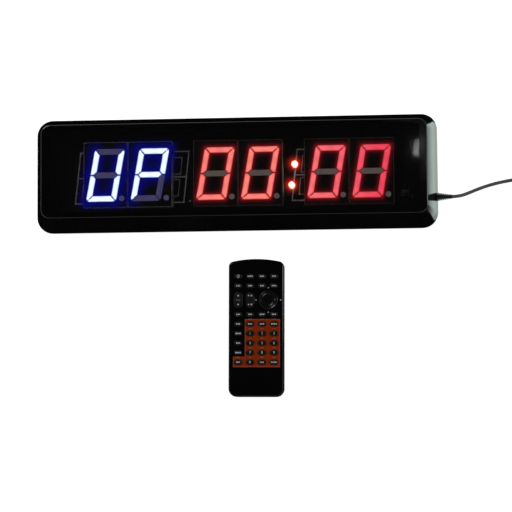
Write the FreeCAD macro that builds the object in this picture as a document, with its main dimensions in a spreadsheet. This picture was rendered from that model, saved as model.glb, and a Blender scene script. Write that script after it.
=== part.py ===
"""Six-digit LED interval timer for a gym, with its supply lead and its remote control.

The timer lies on its back: X runs along the display, Y up the display, Z out of it, and z = 0 is the
flat back face. The remote control lies below it on the same plane, and the lead leaves the right side.
"""
import FreeCAD, Part

import math
import os

from FreeCAD import Placement, Rotation, Vector
from Sketcher import Constraint

# Driving dimensions, millimetres. Each becomes a named cell of the sheet.
SIZES = {
    # case
    "case_width": 350.0, "case_height": 99.5, "case_depth": 40.0, "case_corner": 13.8, "flare": 9.5,
    "front_corner": 7.5, "cover_thick": 2.5, "side_rim": 6.3, "long_rim": 3.7, "rim_round": 1.2,
    "ledge_width": 1.2, "outer_wall": 2.4, "skirt_wall": 2.0, "channel_depth": 33.0,
    "lens_thick": 2.5, "lens_gap": 0.1, "lens_corner": 2.0, "window_corner": 1.0, "lug_length": 9.0,
    "lug_height": 13.5, "lug_bite": 0.9, "lug_corner": 0.3, "pilot_radius": 1.4, "pilot_depth": 12.0,
    # rear cover
    "bore_radius": 1.6, "recess_radius": 2.8, "head_radius": 2.6, "head_thick": 1.1, "head_recess": 1.3,
    "shank_length": 11.0, "driver_length": 3.0, "driver_width": 0.7, "driver_depth": 0.6,
    "key_entry_radius": 4.0, "key_slot_width": 4.2, "key_slot_height": 9.0, "key_slot_corner": 2.0,
    "key_spacing": 190.0, "key_offset": 12.0, "vent_x": -45.0, "vent_y": -8.0, "vent_pitch": 3.2,
    "vent_width": 14.0, "vent_height": 1.6, "vent_corner": 0.7, "post_radius": 3.0, "post_height": 10.4,
    # display board
    "board_width": 314.0, "board_height": 69.0, "board_thick": 1.6, "board_corner": 1.0,
    "board_bore": 1.5, "board_screw_radius": 1.3, "board_head_radius": 2.7, "board_head_thick": 1.8,
    "board_screw_length": 8.0, "board_cross_length": 2.8, "board_cross_depth": 0.8, "screw_spare": 0.5,
    "post_x": 151.5, "post_middle_x": -44.3, "post_y": 31.0,
    # digits
    "module_width": 38.45, "module_height": 57.5, "module_depth": 12.4, "module_pitch": 38.65,
    "module_y": -2.2, "pair_left": -92.0, "pair_middle": 3.3, "pair_right": 98.9,
    "digit_height": 45.7, "digit_width": 26.1, "digit_lift": -2.4, "digit_slant": 10.0, "stroke": 4.9,
    "segment_gap": 0.45, "digit_round": 3.2, "segment_thick": 0.8, "point_radius": 2.4,
    "point_x": 14.0, "point_y": -22.6,
    # colon lamps and receiver
    "colon_x": 50.55, "colon_lean": 1.35, "colon_half": 9.05, "colon_lift": -3.35,
    "lamp_radius": 2.5, "lamp_height": 6.0, "lamp_foot_radius": 2.9, "lamp_foot_thick": 1.0,
    "receiver_x": 146.4, "receiver_y": -21.0, "receiver_width": 6.6, "receiver_height": 5.6,
    "receiver_depth": 6.0, "receiver_dome": 2.3,
    # lead
    "lead_y": -23.3, "lead_z": 5.4, "lead_radius": 1.5, "neck_radius": 2.5, "collar_radius": 2.8,
    "collar_length": 2.0, "relief_radius": 3.7, "relief_tip_radius": 1.9, "relief_length": 12.0,
    "coil_x": 266.0, "coil_y": -29.5, "coil_inner": 9.0, "coil_outer": 24.0, "coil_height": 6.0,
    "plug_width": 15.6, "plug_length": 24.0, "plug_height": 7.8, "plug_corner": 2.5,
    "shell_width": 12.0, "shell_length": 13.5, "shell_height": 4.5, "shell_wall": 0.35,
    "tongue_height": 1.8, "tongue_inset": 1.0, "plug_relief_length": 9.0, "plug_relief_radius": 2.9,
    "socket_x": 142.0, "socket_length": 8.0,
    # remote control
    "remote_x": 17.2, "remote_y": -135.0, "remote_turn": -0.6, "remote_width": 47.5,
    "remote_length": 118.5, "remote_split": 8.5, "remote_top": 17.0, "remote_corner": 7.0,
    "shoulder": 4.5, "arch_rise": 3.0, "remote_wall": 1.8, "remote_floor": 1.5, "remote_roof": 1.4,
    "remote_top_round": 1.6, "remote_bottom_round": 2.5, "door_width": 33.0, "door_top": 2.0,
    "door_side": 6.0, "door_gap": 0.3, "remote_board_width": 42.0, "remote_board_length": 105.0,
    "remote_board_level": 12.5, "remote_board_thick": 1.2, "mat_thick": 0.6, "mat_margin": 1.0,
    "cell_radius": 5.15, "cell_length": 43.5, "cell_x": 5.6, "cell_y": -31.6, "cell_z": 7.0,
    "cap_radius": 1.8, "cap_length": 0.9, "contact_width": 17.0, "contact_height": 7.6,
    "contact_thick": 0.5, "spring_radius": 3.2, "spring_tip_radius": 2.4, "remote_post_x": 18.8,
    "remote_post_y": 46.0, "remote_post_radius": 1.9,
    "key_pitch_x": 10.27, "key_pitch_y": 8.21, "first_row_y": 44.2, "key_width": 6.9,
    "key_height": 3.9, "key_corner": 1.9, "key_level": 15.05, "key_top": 17.9, "flange_thick": 0.45,
    "flange_over": 0.5, "key_gap": 0.3, "key_round": 0.5, "rocker_width": 7.4, "rocker_height": 13.4,
    "rocker_corner": 3.6, "tilt_level": 14.85, "tilt_flange": 0.25, "tilt_gap": 0.45,
    "nav_radius": 8.2, "nav_x": 10.5, "nav_dish": 30.0, "nav_dish_depth": 0.7,
    "sender_radius": 1.5, "sender_length": 5.3, "sender_z": 11.4, "sender_clear": 0.05,
    "sender_gap": 0.1, "sender_bore": 20.0,
}
SIZES["front_width"] = SIZES["case_width"] - 2 * SIZES["flare"]
SIZES["front_height"] = SIZES["case_height"] - 2 * SIZES["flare"]
SIZES["lens_width"] = SIZES["front_width"] - 2 * SIZES["side_rim"]
SIZES["lens_height"] = SIZES["front_height"] - 2 * SIZES["long_rim"]
SIZES["pane_width"] = SIZES["lens_width"] - 2 * SIZES["lens_gap"]
SIZES["pane_height"] = SIZES["lens_height"] - 2 * SIZES["lens_gap"]
SIZES["window_width"] = SIZES["lens_width"] - 2 * SIZES["ledge_width"]
SIZES["window_height"] = SIZES["lens_height"] - 2 * SIZES["ledge_width"]
SIZES["skirt_width"] = SIZES["window_width"] + 2 * SIZES["skirt_wall"]
SIZES["skirt_height"] = SIZES["window_height"] + 2 * SIZES["skirt_wall"]
SIZES["wall_width"] = SIZES["case_width"] - 2 * SIZES["outer_wall"]
SIZES["wall_height"] = SIZES["case_height"] - 2 * SIZES["outer_wall"]
SIZES["wall_corner"] = SIZES["case_corner"] - SIZES["outer_wall"]
SIZES["frame_depth"] = SIZES["case_depth"] - SIZES["cover_thick"]
SIZES["channel_top"] = SIZES["cover_thick"] + SIZES["channel_depth"]
LEAN = SIZES["flare"] / SIZES["frame_depth"]
SIZES["roof_width"] = SIZES["wall_width"] - 2 * LEAN * SIZES["channel_depth"]
SIZES["roof_height"] = SIZES["wall_height"] - 2 * LEAN * SIZES["channel_depth"]
SIZES["roof_corner"] = SIZES["front_corner"] - SIZES["outer_wall"]
SIZES["lens_level"] = SIZES["case_depth"] - SIZES["lens_thick"]
SIZES["board_level"] = SIZES["cover_thick"] + SIZES["post_height"]
SIZES["board_front"] = SIZES["board_level"] + SIZES["board_thick"]
SIZES["module_front"] = SIZES["board_front"] + SIZES["module_depth"]
SIZES["segment_level"] = SIZES["module_front"] - SIZES["segment_thick"]
SIZES["mat_level"] = SIZES["remote_board_level"] + SIZES["remote_board_thick"]
SIZES["mat_width"] = SIZES["remote_board_width"] - 2 * SIZES["mat_margin"]
SIZES["mat_length"] = SIZES["remote_board_length"] - 2 * SIZES["mat_margin"]
SIZES["roof_level"] = SIZES["remote_top"] - SIZES["remote_roof"]
SIZES["top_depth"] = SIZES["remote_top"] - SIZES["remote_split"]
SIZES["hollow_depth"] = SIZES["roof_level"] - SIZES["remote_split"]
SIZES["well_depth"] = SIZES["remote_split"] - SIZES["remote_floor"]
SIZES["remote_post_height"] = SIZES["remote_board_level"] - SIZES["remote_floor"]
SIZES["key_depth"] = SIZES["key_top"] - SIZES["key_level"]
SIZES["tilt_depth"] = SIZES["key_top"] - SIZES["tilt_level"]
SIZES["key_flange_width"] = SIZES["key_width"] + 2 * SIZES["flange_over"]
SIZES["key_flange_height"] = SIZES["key_height"] + 2 * SIZES["flange_over"]
SIZES["key_flange_corner"] = SIZES["key_corner"] + SIZES["flange_over"]
SIZES["rocker_flange_width"] = SIZES["rocker_width"] + 2 * SIZES["flange_over"]
SIZES["rocker_flange_height"] = SIZES["rocker_height"] + 2 * SIZES["flange_over"]
SIZES["rocker_flange_corner"] = SIZES["rocker_corner"] + SIZES["flange_over"]
SIZES["nav_flange_radius"] = SIZES["nav_radius"] + SIZES["flange_over"] + 0.3

# Which bars each digit lights, from left to right: "UP 00:00".
BARS = "abcdefg"
DIGITS = (("blue", "bcdef"), ("blue", "abefg"), ("red", "abcdef"),
          ("red", "abcdef"), ("red", "abcdef"), ("red", "abcdef"))

# The lead's route from the strain relief along the table to the put-away coil, and on to the plug.
LEAD_ROUTE = ((187.0, -23.3, 5.4), (193.0, -23.0, 4.6), (200.0, -20.6, 2.2), (210.0, -16.4, 1.5),
              (222.5, -12.4, 1.5), (237.5, -9.4, 1.5), (252.0, -7.6, 1.5), (266.0, -7.0, 1.5))
TAIL_ROUTE = ((288.5, -29.5, 4.5), (288.3, -37.5, 4.3), (287.6, -45.5, 4.0))
ARC_SHARE = 0.45

VENTS = 5
SCREWS = ((-115, 1), (0, 1), (115, 1), (-115, -1), (0, -1), (115, -1), (-1, 0), (1, 0))
ROWS = 10
COLUMNS = 4
ROCKER_ROWS = (2, 3)
X_AXIS, Y_AXIS, Z_AXIS = Vector(1, 0, 0), Vector(0, 1, 0), Vector(0, 0, 1)

doc = FreeCAD.newDocument("round_timer")
sheet = doc.addObject("Spreadsheet::Sheet", "dims")
for line_number, (alias, number) in enumerate(SIZES.items(), start=1):
    sheet.set("A%d" % line_number, alias)
    sheet.set("B%d" % line_number, repr(number))
    sheet.setAlias("B%d" % line_number, alias)
doc.recompute()

nodes = []


def size(alias):
    """The number in one cell."""
    return SIZES[alias]


def bind(thing, prop, alias):
    """Drives a property from the sheet. A leading minus turns the number round."""
    sign = "-" if alias.startswith("-") else ""
    thing.setExpression(prop, "%sdims.%s" % (sign, alias.lstrip("-")))


def keep(thing, label, place=None):
    """Names a finished sub-part, and places it."""
    thing.Label = label
    if place is not None:
        thing.Placement = place
    nodes.append(thing)
    return thing


def add(kind, label, **values):
    """A Part object: numbers are set, and strings are bound to cells."""
    thing = doc.addObject(kind, label)
    for prop, value in values.items():
        if isinstance(value, str):
            bind(thing, prop, value)
        else:
            setattr(thing, prop, value)
    return thing


def at(x, y, z, rotation=Rotation()):
    return Placement(Vector(x, y, z), rotation)


def box(label, length, width, height, centre, level):
    """A box by its full sizes, centred in X and Y on a point, standing on a level."""
    thing = add("Part::Box", label, Length=length, Width=width, Height=height)
    thing.Placement = at(centre[0] - thing_size(length) / 2, centre[1] - thing_size(width) / 2, level)
    return thing


def thing_size(value):
    return size(value) if isinstance(value, str) else value


def cylinder(label, radius, height, base, axis=Z_AXIS):
    thing = add("Part::Cylinder", label, Radius=radius, Height=height)
    thing.Placement = Placement(Vector(*base), Rotation(Z_AXIS, axis))
    return thing


def cone(label, radius1, radius2, height, base, axis=Z_AXIS):
    thing = add("Part::Cone", label, Radius1=radius1, Radius2=radius2, Height=height)
    thing.Placement = Placement(Vector(*base), Rotation(Z_AXIS, axis))
    return thing


def fuse(label, *things):
    return add("Part::MultiFuse", label, Shapes=list(things))


def cut(label, base, *tools):
    tool = tools[0] if len(tools) == 1 else fuse(label + "_tools", *tools)
    return add("Part::Cut", label, Base=base, Tool=tool)


def loose(label, solids):
    """A feature made from ready shapes, for outlines that no primitive has."""
    thing = doc.addObject("Part::Feature", label)
    thing.Shape = solids[0] if len(solids) == 1 else Part.makeCompound(solids)
    return thing


def new_body(label):
    return doc.addObject("PartDesign::Body", label)


def sketch(body, label, level=None):
    """A sketch on the body's XY plane, lifted to a level of the sheet."""
    drawing = body.newObject("Sketcher::SketchObject", label)
    plane = next(f for f in body.Origin.OriginFeatures if f.Role == "XY_Plane")
    drawing.AttachmentSupport = (plane, [""])
    drawing.MapMode = "FlatFace"
    if level:
        bind(drawing, "AttachmentOffset.Base.z", level)
    return drawing


def draw_rounded(drawing, width, height, radius, centre=(0.0, 0.0), bound=True):
    """A rectangle with round corners. Its sizes are cells, and where bound the sheet drives them."""
    half_w, half_h, r = thing_size(width) / 2, thing_size(height) / 2, thing_size(radius)
    cx, cy = centre
    sides = (((-half_w + r, -half_h), (half_w - r, -half_h)), ((half_w, -half_h + r), (half_w, half_h - r)),
             ((half_w - r, half_h), (-half_w + r, half_h)), ((-half_w, half_h - r), (-half_w, -half_h + r)))
    middles = ((half_w - r, -half_h + r), (half_w - r, half_h - r),
               (-half_w + r, half_h - r), (-half_w + r, -half_h + r))
    first = drawing.GeometryCount
    for turn, (side, middle) in enumerate(zip(sides, middles)):
        ends = [Vector(cx + x, cy + y, 0) for x, y in side]
        drawing.addGeometry(Part.LineSegment(*ends), False)
        circle = Part.Circle(Vector(cx + middle[0], cy + middle[1], 0), Z_AXIS, r)
        start = (turn - 1) * math.pi / 2
        drawing.addGeometry(Part.ArcOfCircle(circle, start, start + math.pi / 2), False)
    if not bound:
        return
    for step in range(8):
        drawing.addConstraint(Constraint("Tangent", first + step, 2, first + (step + 1) % 8, 1))
    for step, direction in ((0, "Horizontal"), (2, "Vertical"), (4, "Horizontal"), (6, "Vertical")):
        drawing.addConstraint(Constraint(direction, first + step))
    for step in (3, 5, 7):
        drawing.addConstraint(Constraint("Equal", first + 1, first + step))
    drive(drawing, Constraint("Radius", first + 1, r), radius)
    drive(drawing, Constraint("DistanceX", first + 6, 1, first + 2, 1, 2 * half_w), width)
    drive(drawing, Constraint("DistanceY", first, 1, first + 4, 1, 2 * half_h), height)
    if centre == (0.0, 0.0):
        for at_end, direction in ((first + 2, "DistanceX"), (first + 4, "DistanceY")):
            value = half_w if direction == "DistanceX" else half_h
            number = drawing.addConstraint(Constraint(direction, -1, 1, at_end, 1, value))
            alias = width if direction == "DistanceX" else height
            drawing.setExpression("Constraints[%d]" % number, "dims.%s / 2" % alias)


def drive(drawing, constraint, alias):
    number = drawing.addConstraint(constraint)
    drawing.setExpression("Constraints[%d]" % number, "dims.%s" % alias)


def draw_circles(drawing, centres, radius):
    """Equal circles: the first one's radius is driven, and the others equal it."""
    first = drawing.GeometryCount
    for x, y in centres:
        drawing.addGeometry(Part.Circle(Vector(x, y, 0), Z_AXIS, size(radius)), False)
    drive(drawing, Constraint("Radius", first, size(radius)), radius)
    for other in range(first + 1, first + len(centres)):
        drawing.addConstraint(Constraint("Equal", first, other))


def pad(body, drawing, length):
    feature = body.newObject("PartDesign::Pad", drawing.Label + "_pad")
    feature.Profile = drawing
    bind(feature, "Length", length)
    drawing.Visibility = False
    doc.recompute()
    return feature


def pocket(body, drawing, depth=None, upward=False):
    """Cuts down from the sketch, or up, to a depth or through all, and proves that it cut."""
    before = body.Shape.Volume
    feature = body.newObject("PartDesign::Pocket", drawing.Label + "_pocket")
    feature.Profile = drawing
    feature.Reversed = upward
    if depth:
        bind(feature, "Length", depth)
    else:
        feature.Type = "ThroughAll"
    doc.recompute()
    if body.Shape.Volume >= before - 1e-6:
        raise RuntimeError("%s cuts nothing" % feature.Label)
    return feature


def taper(body, kind, label, low, high):
    """A loft, or a lofted hollow, between two rounded rectangles: width, height, corner and level."""
    drawings = []
    for number, (width, height, corner, level) in enumerate((low, high)):
        drawing = sketch(body, "%s_%d" % (label, number), level)
        draw_rounded(drawing, width, height, corner)
        drawings.append(drawing)
    feature = body.newObject("PartDesign::" + kind, label)
    feature.Profile = drawings[0]
    feature.Sections = drawings[1:]
    feature.Ruled = True
    doc.recompute()
    return feature


def round_edges(body, radius, chosen):
    """Fillets the edges that the test picks."""
    base = body.Tip
    names = ["Edge%d" % (n + 1) for n, edge in enumerate(base.Shape.Edges) if chosen(edge)]
    feature = body.newObject("PartDesign::Fillet", body.Label + "_round")
    feature.Base = (base, names)
    bind(feature, "Radius", radius)
    doc.recompute()
    return feature


def plate(label, width, height, radius, thick, level=None):
    """A flat body with round corners, standing on a level."""
    body = new_body(label)
    drawing = sketch(body, label + "_outline", level)
    draw_rounded(drawing, width, height, radius)
    pad(body, drawing, thick)
    return body


def on_level(edge, z):
    return all(abs(vertex.Z - z) < 1e-3 for vertex in edge.Vertexes)


# ---------------------------------------------------------------- case

def screw_places():
    """The rear cover's screws: six along the long sides and one at the middle of each end."""
    side_y, end_x = [sum(band) / 2 for band in lug_bands()]
    return [(x, y * side_y) if y else (x * end_x, 0.0) for x, y in SCREWS]


def lug_bands():
    """From where to where a lug reaches across the gap between skirt and outer wall, in Y and in X."""
    bite = size("lug_bite")
    lost = LEAN * size("lug_height") - bite
    return [(size("skirt_" + side) / 2 - bite, size("wall_" + side) / 2 - lost)
            for side in ("height", "width")]


def make_front_frame():
    """One moulding: sloping outer walls, a rim round the lens, and a skirt behind the window's edge."""
    body = new_body("frame_moulding")
    taper(body, "AdditiveLoft", "frame_outside",
          ("case_width", "case_height", "case_corner", "cover_thick"),
          ("front_width", "front_height", "front_corner", "case_depth"))
    taper(body, "SubtractiveLoft", "frame_inside",
          ("wall_width", "wall_height", "wall_corner", "cover_thick"),
          ("roof_width", "roof_height", "roof_corner", "channel_top"))
    skirt = sketch(body, "frame_skirt", "cover_thick")
    draw_rounded(skirt, "skirt_width", "skirt_height", "lens_corner")
    pad(body, skirt, "channel_depth")
    window = sketch(body, "frame_window", "case_depth")
    draw_rounded(window, "window_width", "window_height", "window_corner")
    pocket(body, window)
    recess = sketch(body, "frame_recess", "case_depth")
    draw_rounded(recess, "lens_width", "lens_height", "lens_corner")
    pocket(body, recess, "lens_thick")
    lugs = sketch(body, "frame_lugs", "cover_thick")
    side_band, end_band = [band[1] - band[0] for band in lug_bands()]
    for x, y in screw_places():
        sizes = (size("lug_length"), side_band) if y else (end_band, size("lug_length"))
        draw_rounded(lugs, sizes[0], sizes[1], "lug_corner", (x, y), bound=False)
    pad(body, lugs, "lug_height")
    pilots = sketch(body, "frame_pilots", "cover_thick")
    draw_circles(pilots, screw_places(), "pilot_radius")
    pocket(body, pilots, "pilot_depth", upward=True)
    inner_x, inner_y = size("lens_width") / 2 + 1, size("lens_height") / 2 + 1

    def outer_front(edge):
        box_of = edge.BoundBox
        inside = box_of.XMax <= inner_x and box_of.XMin >= -inner_x
        inside = inside and box_of.YMax <= inner_y and box_of.YMin >= -inner_y
        return on_level(edge, size("case_depth")) and not inside

    round_edges(body, "rim_round", outer_front)
    bore = cylinder("frame_lead_bore", "neck_radius", (size("case_width") - size("window_width")) / 2 + 2.0,
                    (size("window_width") / 2 - 1.0, size("lead_y"), size("lead_z")), X_AXIS)
    return keep(cut("front_frame", body, bore), "front_frame")


def make_lens():
    keep(plate("display_lens", "pane_width", "pane_height", "lens_corner", "lens_thick", "lens_level"),
         "display_lens")


def post_places():
    return [(x, side * size("post_y"))
            for side in (-1, 1) for x in (-size("post_x"), size("post_middle_x"), size("post_x"))]


def make_rear_cover():
    """A flat plate with screw recesses, two keyholes to hang it by, sound slots and board posts."""
    body = plate("rear_cover", "case_width", "case_height", "case_corner", "cover_thick")
    posts = sketch(body, "cover_posts", "cover_thick")
    draw_circles(posts, post_places(), "post_radius")
    pad(body, posts, "post_height")
    threads = sketch(body, "cover_threads", "board_level")
    draw_circles(threads, post_places(), "board_screw_radius")
    pocket(body, threads, "board_screw_length")
    bores = sketch(body, "cover_bores", "cover_thick")
    draw_circles(bores, screw_places(), "bore_radius")
    pocket(body, bores)
    recesses = sketch(body, "cover_recesses")
    draw_circles(recesses, screw_places(), "recess_radius")
    pocket(body, recesses, "head_recess", upward=True)
    keyholes = [(side * size("key_spacing") / 2, size("key_offset")) for side in (-1, 1)]
    entries = sketch(body, "cover_entries", "cover_thick")
    draw_circles(entries, keyholes, "key_entry_radius")
    pocket(body, entries)
    slots = sketch(body, "cover_slots", "cover_thick")
    for x, y in keyholes:
        draw_rounded(slots, "key_slot_width", "key_slot_height", "key_slot_corner",
                     (x, y + size("key_slot_height") / 2), bound=False)
    pocket(body, slots)
    vents = sketch(body, "cover_vents", "cover_thick")
    for step in range(VENTS):
        draw_rounded(vents, "vent_width", "vent_height", "vent_corner",
                     (size("vent_x"), size("vent_y") - size("vent_pitch") * step), bound=False)
    pocket(body, vents)
    keep(body, "rear_cover")


def make_cover_screws():
    """Eight self-tapping screws, heads sunk in the cover."""
    pieces = []
    for number, (x, y) in enumerate(screw_places()):
        sunk = size("head_recess") - size("head_thick")
        head = cylinder("cover_head_%d" % number, "head_radius", "head_thick", (x, y, sunk))
        driver = box("cover_driver_%d" % number, "driver_length", "driver_width", "driver_depth",
                     (x, y), sunk)
        shank = cylinder("cover_shank_%d" % number, "pilot_radius", "shank_length",
                         (x, y, size("head_recess")))
        pieces.append(cut("cover_screw_%d" % number, fuse("cover_pin_%d" % number, head, shank), driver))
    keep(add("Part::Compound", "cover_screws", Links=pieces), "cover_screws")


# ---------------------------------------------------------------- display

def make_board():
    body = plate("display_board", "board_width", "board_height", "board_corner", "board_thick",
                 "board_level")
    bores = sketch(body, "board_bores", "board_front")
    draw_circles(bores, post_places(), "board_bore")
    pocket(body, bores)
    keep(body, "display_board")


def make_board_screws():
    pieces = []
    for number, (x, y) in enumerate(post_places()):
        head = cylinder("board_head_%d" % number, "board_head_radius", "board_head_thick",
                        (x, y, size("board_front")))
        reach = size("board_screw_length") + size("board_thick") - size("screw_spare")
        shank = cylinder("board_shank_%d" % number, "board_screw_radius", reach,
                         (x, y, size("board_front") - reach))
        cross_level = size("board_front") + size("board_head_thick") - size("board_cross_depth")
        cross = box("board_cross_%d" % number, "board_cross_length", "driver_width",
                    "board_cross_depth", (x, y), cross_level)
        pieces.append(cut("board_screw_%d" % number, fuse("board_pin_%d" % number, head, shank), cross))
    keep(add("Part::Compound", "board_screws", Links=pieces), "board_screws")


def digit_places():
    """The six digits' centres, left to right."""
    pairs = ("pair_left", "pair_middle", "pair_right")
    return [size(pair) + side * size("module_pitch") / 2 for pair in pairs for side in (-1, 1)]


def bar_outline(bar):
    """One bar of an upright seven-bar digit: points, where a triple is the middle of an arc."""
    half_w, half_h = size("digit_width") / 2, size("digit_height") / 2
    t, gap, r = size("stroke"), size("segment_gap"), size("digit_round")
    near = r * (1 - math.cos(math.pi / 4))
    mid = r * (1 - math.cos(math.pi / 8))
    far = r * (1 - math.sin(math.pi / 8))
    top = [(-half_w + r, half_h), (half_w - r, half_h), (half_w - far, half_h - mid, "arc"),
           (half_w - near - gap / 2, half_h - near + gap / 2), (half_w - t - gap, half_h - t),
           (-half_w + t + gap, half_h - t), (-half_w + near + gap / 2, half_h - near + gap / 2),
           (-half_w + far, half_h - mid, "arc")]
    side = [(half_w, half_h - r), (half_w, gap), (half_w - t / 2, gap), (half_w - t, t / 2 + gap),
            (half_w - t, half_h - t - gap), (half_w - near + gap / 2, half_h - near - gap / 2),
            (half_w - mid, half_h - far, "arc")]
    end = half_w - t / 2 - gap
    middle = [(-end, 0), (-end + t / 2, t / 2), (end - t / 2, t / 2), (end, 0),
              (end - t / 2, -t / 2), (-end + t / 2, -t / 2)]
    outline, flip_x, flip_y = {"a": (top, 1, 1), "b": (side, 1, 1), "c": (side, 1, -1),
                               "d": (top, 1, -1), "e": (side, -1, -1), "f": (side, -1, 1),
                               "g": (middle, 1, 1)}[bar]
    return [(p[0] * flip_x, p[1] * flip_y) + tuple(p[2:]) for p in outline]


def bar_face(bar, centre_x, level):
    """The bar's face on a level, leaning as the digit leans."""
    lean = math.tan(math.radians(size("digit_slant")))
    points = [(Vector(centre_x + p[0] + p[1] * lean, p[1] + size("digit_lift"), level), len(p) > 2)
              for p in bar_outline(bar)]
    edges = []
    count = len(points)
    step = 0
    while step < count:
        here = points[step][0]
        following, is_arc = points[(step + 1) % count]
        if is_arc:
            after = points[(step + 2) % count][0]
            edges.append(Part.Arc(here, following, after).toShape())
            step += 2
        else:
            edges.append(Part.LineSegment(here, following).toShape())
            step += 1
    return Part.Face(Part.Wire(Part.__sortEdges__(edges)))


def bar_solid(bar, centre_x):
    return bar_face(bar, centre_x, size("segment_level")).extrude(Vector(0, 0, size("segment_thick")))


def point_solid(centre_x):
    base = Vector(centre_x + size("point_x"), size("point_y"), size("segment_level"))
    return Part.makeCylinder(size("point_radius"), size("segment_thick"), base)


def make_digits():
    """Six display modules, and the light bars set flush in their faces, grouped by what shines."""
    groups = {"blue": [], "red": [], "unlit": []}
    for centre_x, (colour, lit) in zip(digit_places(), DIGITS):
        for bar in BARS:
            groups[colour if bar in lit else "unlit"].append(bar_solid(bar, centre_x))
        groups["unlit"].append(point_solid(centre_x))
    blocks = [box("module_%d" % n, "module_width", "module_height", "module_depth",
                  (centre_x, size("module_y")), size("board_front"))
              for n, centre_x in enumerate(digit_places())]
    pockets = loose("module_pockets", [s for group in groups.values() for s in group])
    keep(cut("digit_housings", add("Part::Compound", "modules", Links=blocks), pockets),
         "digit_housings")
    for colour, label in (("blue", "lit_blue_segments"), ("red", "lit_red_segments"),
                          ("unlit", "unlit_segments")):
        keep(loose(label, groups[colour]), label)


def make_colon():
    """Two round lamps between the last two pairs, on a line that leans with the digits."""
    lamps = []
    for number, side in enumerate((-1, 1)):
        x = size("colon_x") + side * size("colon_lean")
        y = size("colon_lift") + side * size("colon_half")
        level = size("board_front")
        stem = cylinder("lamp_stem_%d" % number, "lamp_radius", "lamp_height", (x, y, level))
        foot = cylinder("lamp_foot_%d" % number, "lamp_foot_radius", "lamp_foot_thick", (x, y, level))
        dome = add("Part::Sphere", "lamp_dome_%d" % number, Radius="lamp_radius")
        dome.Placement = at(x, y, level + size("lamp_height"))
        lamps.append(fuse("lamp_%d" % number, stem, foot, dome))
    keep(add("Part::Compound", "colon_leds", Links=lamps), "colon_leds")


def make_receiver():
    place = (size("receiver_x"), size("receiver_y"))
    level = size("board_front")
    block = box("receiver_block", "receiver_width", "receiver_height", "receiver_depth", place, level)
    dome = add("Part::Sphere", "receiver_dome_ball", Radius="receiver_dome")
    dome.Placement = at(place[0], place[1], level + size("receiver_depth"))
    keep(fuse("ir_receiver", block, dome), "ir_receiver")


def make_components():
    """What else is soldered to the board: front trim parts, chips, beeper, clock cell and socket."""
    front, back = size("board_front"), size("board_level")
    pieces = [
        cylinder("front_capacitor", 2.0, 5.0, (152.6, -23.4, front)),
        box("front_resistor", 3.2, 1.6, 0.8, (144.4, -28.4), front),
        box("front_choke", 2.6, 3.4, 1.4, (146.2, -13.6), front),
        box("main_chip", 18.0, 7.6, 2.4, (20.0, 6.0), back - 2.4),
        box("driver_chip_left", 10.0, 6.2, 1.8, (-60.0, 8.0), back - 1.8),
        box("driver_chip_right", 10.0, 6.2, 1.8, (70.0, 8.0), back - 1.8),
        cylinder("beeper", 8.0, 7.0, (-45.0, -14.0, back - 7.0)),
        cylinder("clock_cell", 10.0, 4.6, (-15.0, 14.0, back - 4.6)),
        box("lead_socket", "socket_length", 9.0, 7.0, (size("socket_x"), size("lead_y")), back - 7.0 - 1.4),
        box("lead_socket_foot", 10.0, 11.0, 1.4, (size("socket_x"), size("lead_y")), back - 1.4),
    ]
    pieces[-2:] = [fuse("lead_socket_whole", *pieces[-2:])]
    keep(add("Part::Compound", "board_components", Links=pieces), "board_components")


# ---------------------------------------------------------------- lead

def make_relief():
    """The bush that grips the lead: a collar inside, a neck through both walls, a tapered boot."""
    y, z = size("lead_y"), size("lead_z")
    outer = size("case_width") / 2
    inner = size("window_width") / 2
    socket_face = size("socket_x") + size("socket_length") / 2
    boot = cone("relief_boot", "relief_radius", "relief_tip_radius", "relief_length",
                (outer, y, z), X_AXIS)
    neck = cylinder("relief_neck", "neck_radius", outer - inner, (inner, y, z), X_AXIS)
    collar = cylinder("relief_collar", "collar_radius", "collar_length",
                      (inner - size("collar_length"), y, z), X_AXIS)
    core = cylinder("relief_core", "lead_radius", inner - socket_face, (socket_face, y, z), X_AXIS)
    keep(fuse("strain_relief", boot, neck, collar, core), "strain_relief")


def tube(points, radius):
    """A round tube along straight runs joined by tangent arcs as large as the runs allow."""
    corners = [Vector(*p) for p in points]
    edges, start, radii = [], corners[0], []
    for before, here, after in zip(corners, corners[1:], corners[2:]):
        inward, outward = (here - before), (after - here)
        turn = inward.getAngle(outward)
        back = ARC_SHARE * min(inward.Length, outward.Length)
        radii.append(back / math.tan(turn / 2))
        inward.normalize()
        outward.normalize()
        arc_start, arc_end = here - inward * back, here + outward * back
        bisector = (outward - inward).normalize()
        depth = radii[-1] / math.cos(turn / 2) - radii[-1]
        edges.append(Part.LineSegment(start, arc_start).toShape())
        edges.append(Part.Arc(arc_start, here + bisector * depth, arc_end).toShape())
        start = arc_end
    edges.append(Part.LineSegment(start, corners[-1]).toShape())
    path = Part.Wire(edges)
    first = (corners[1] - corners[0]).normalize()
    ring = Part.Wire(Part.Circle(corners[0], first, radius).toShape())
    solid = path.makePipeShell([ring], True, False)
    expected = math.pi * radius ** 2 * path.Length
    print("lead: length %.1f, radii %s, volume %.1f against %.1f"
          % (path.Length, [round(r, 1) for r in radii], solid.Volume, expected))
    return solid


def make_lead():
    radius = size("lead_radius")
    keep(loose("power_cord", [tube(LEAD_ROUTE, radius), tube(TAIL_ROUTE, radius)]), "power_cord")
    centre = (size("coil_x"), size("coil_y"), 0.0)
    keep(cut("cord_coil", cylinder("coil_disc", "coil_outer", "coil_height", centre),
             cylinder("coil_eye", "coil_inner", "coil_height", centre)), "cord_coil")


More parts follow.
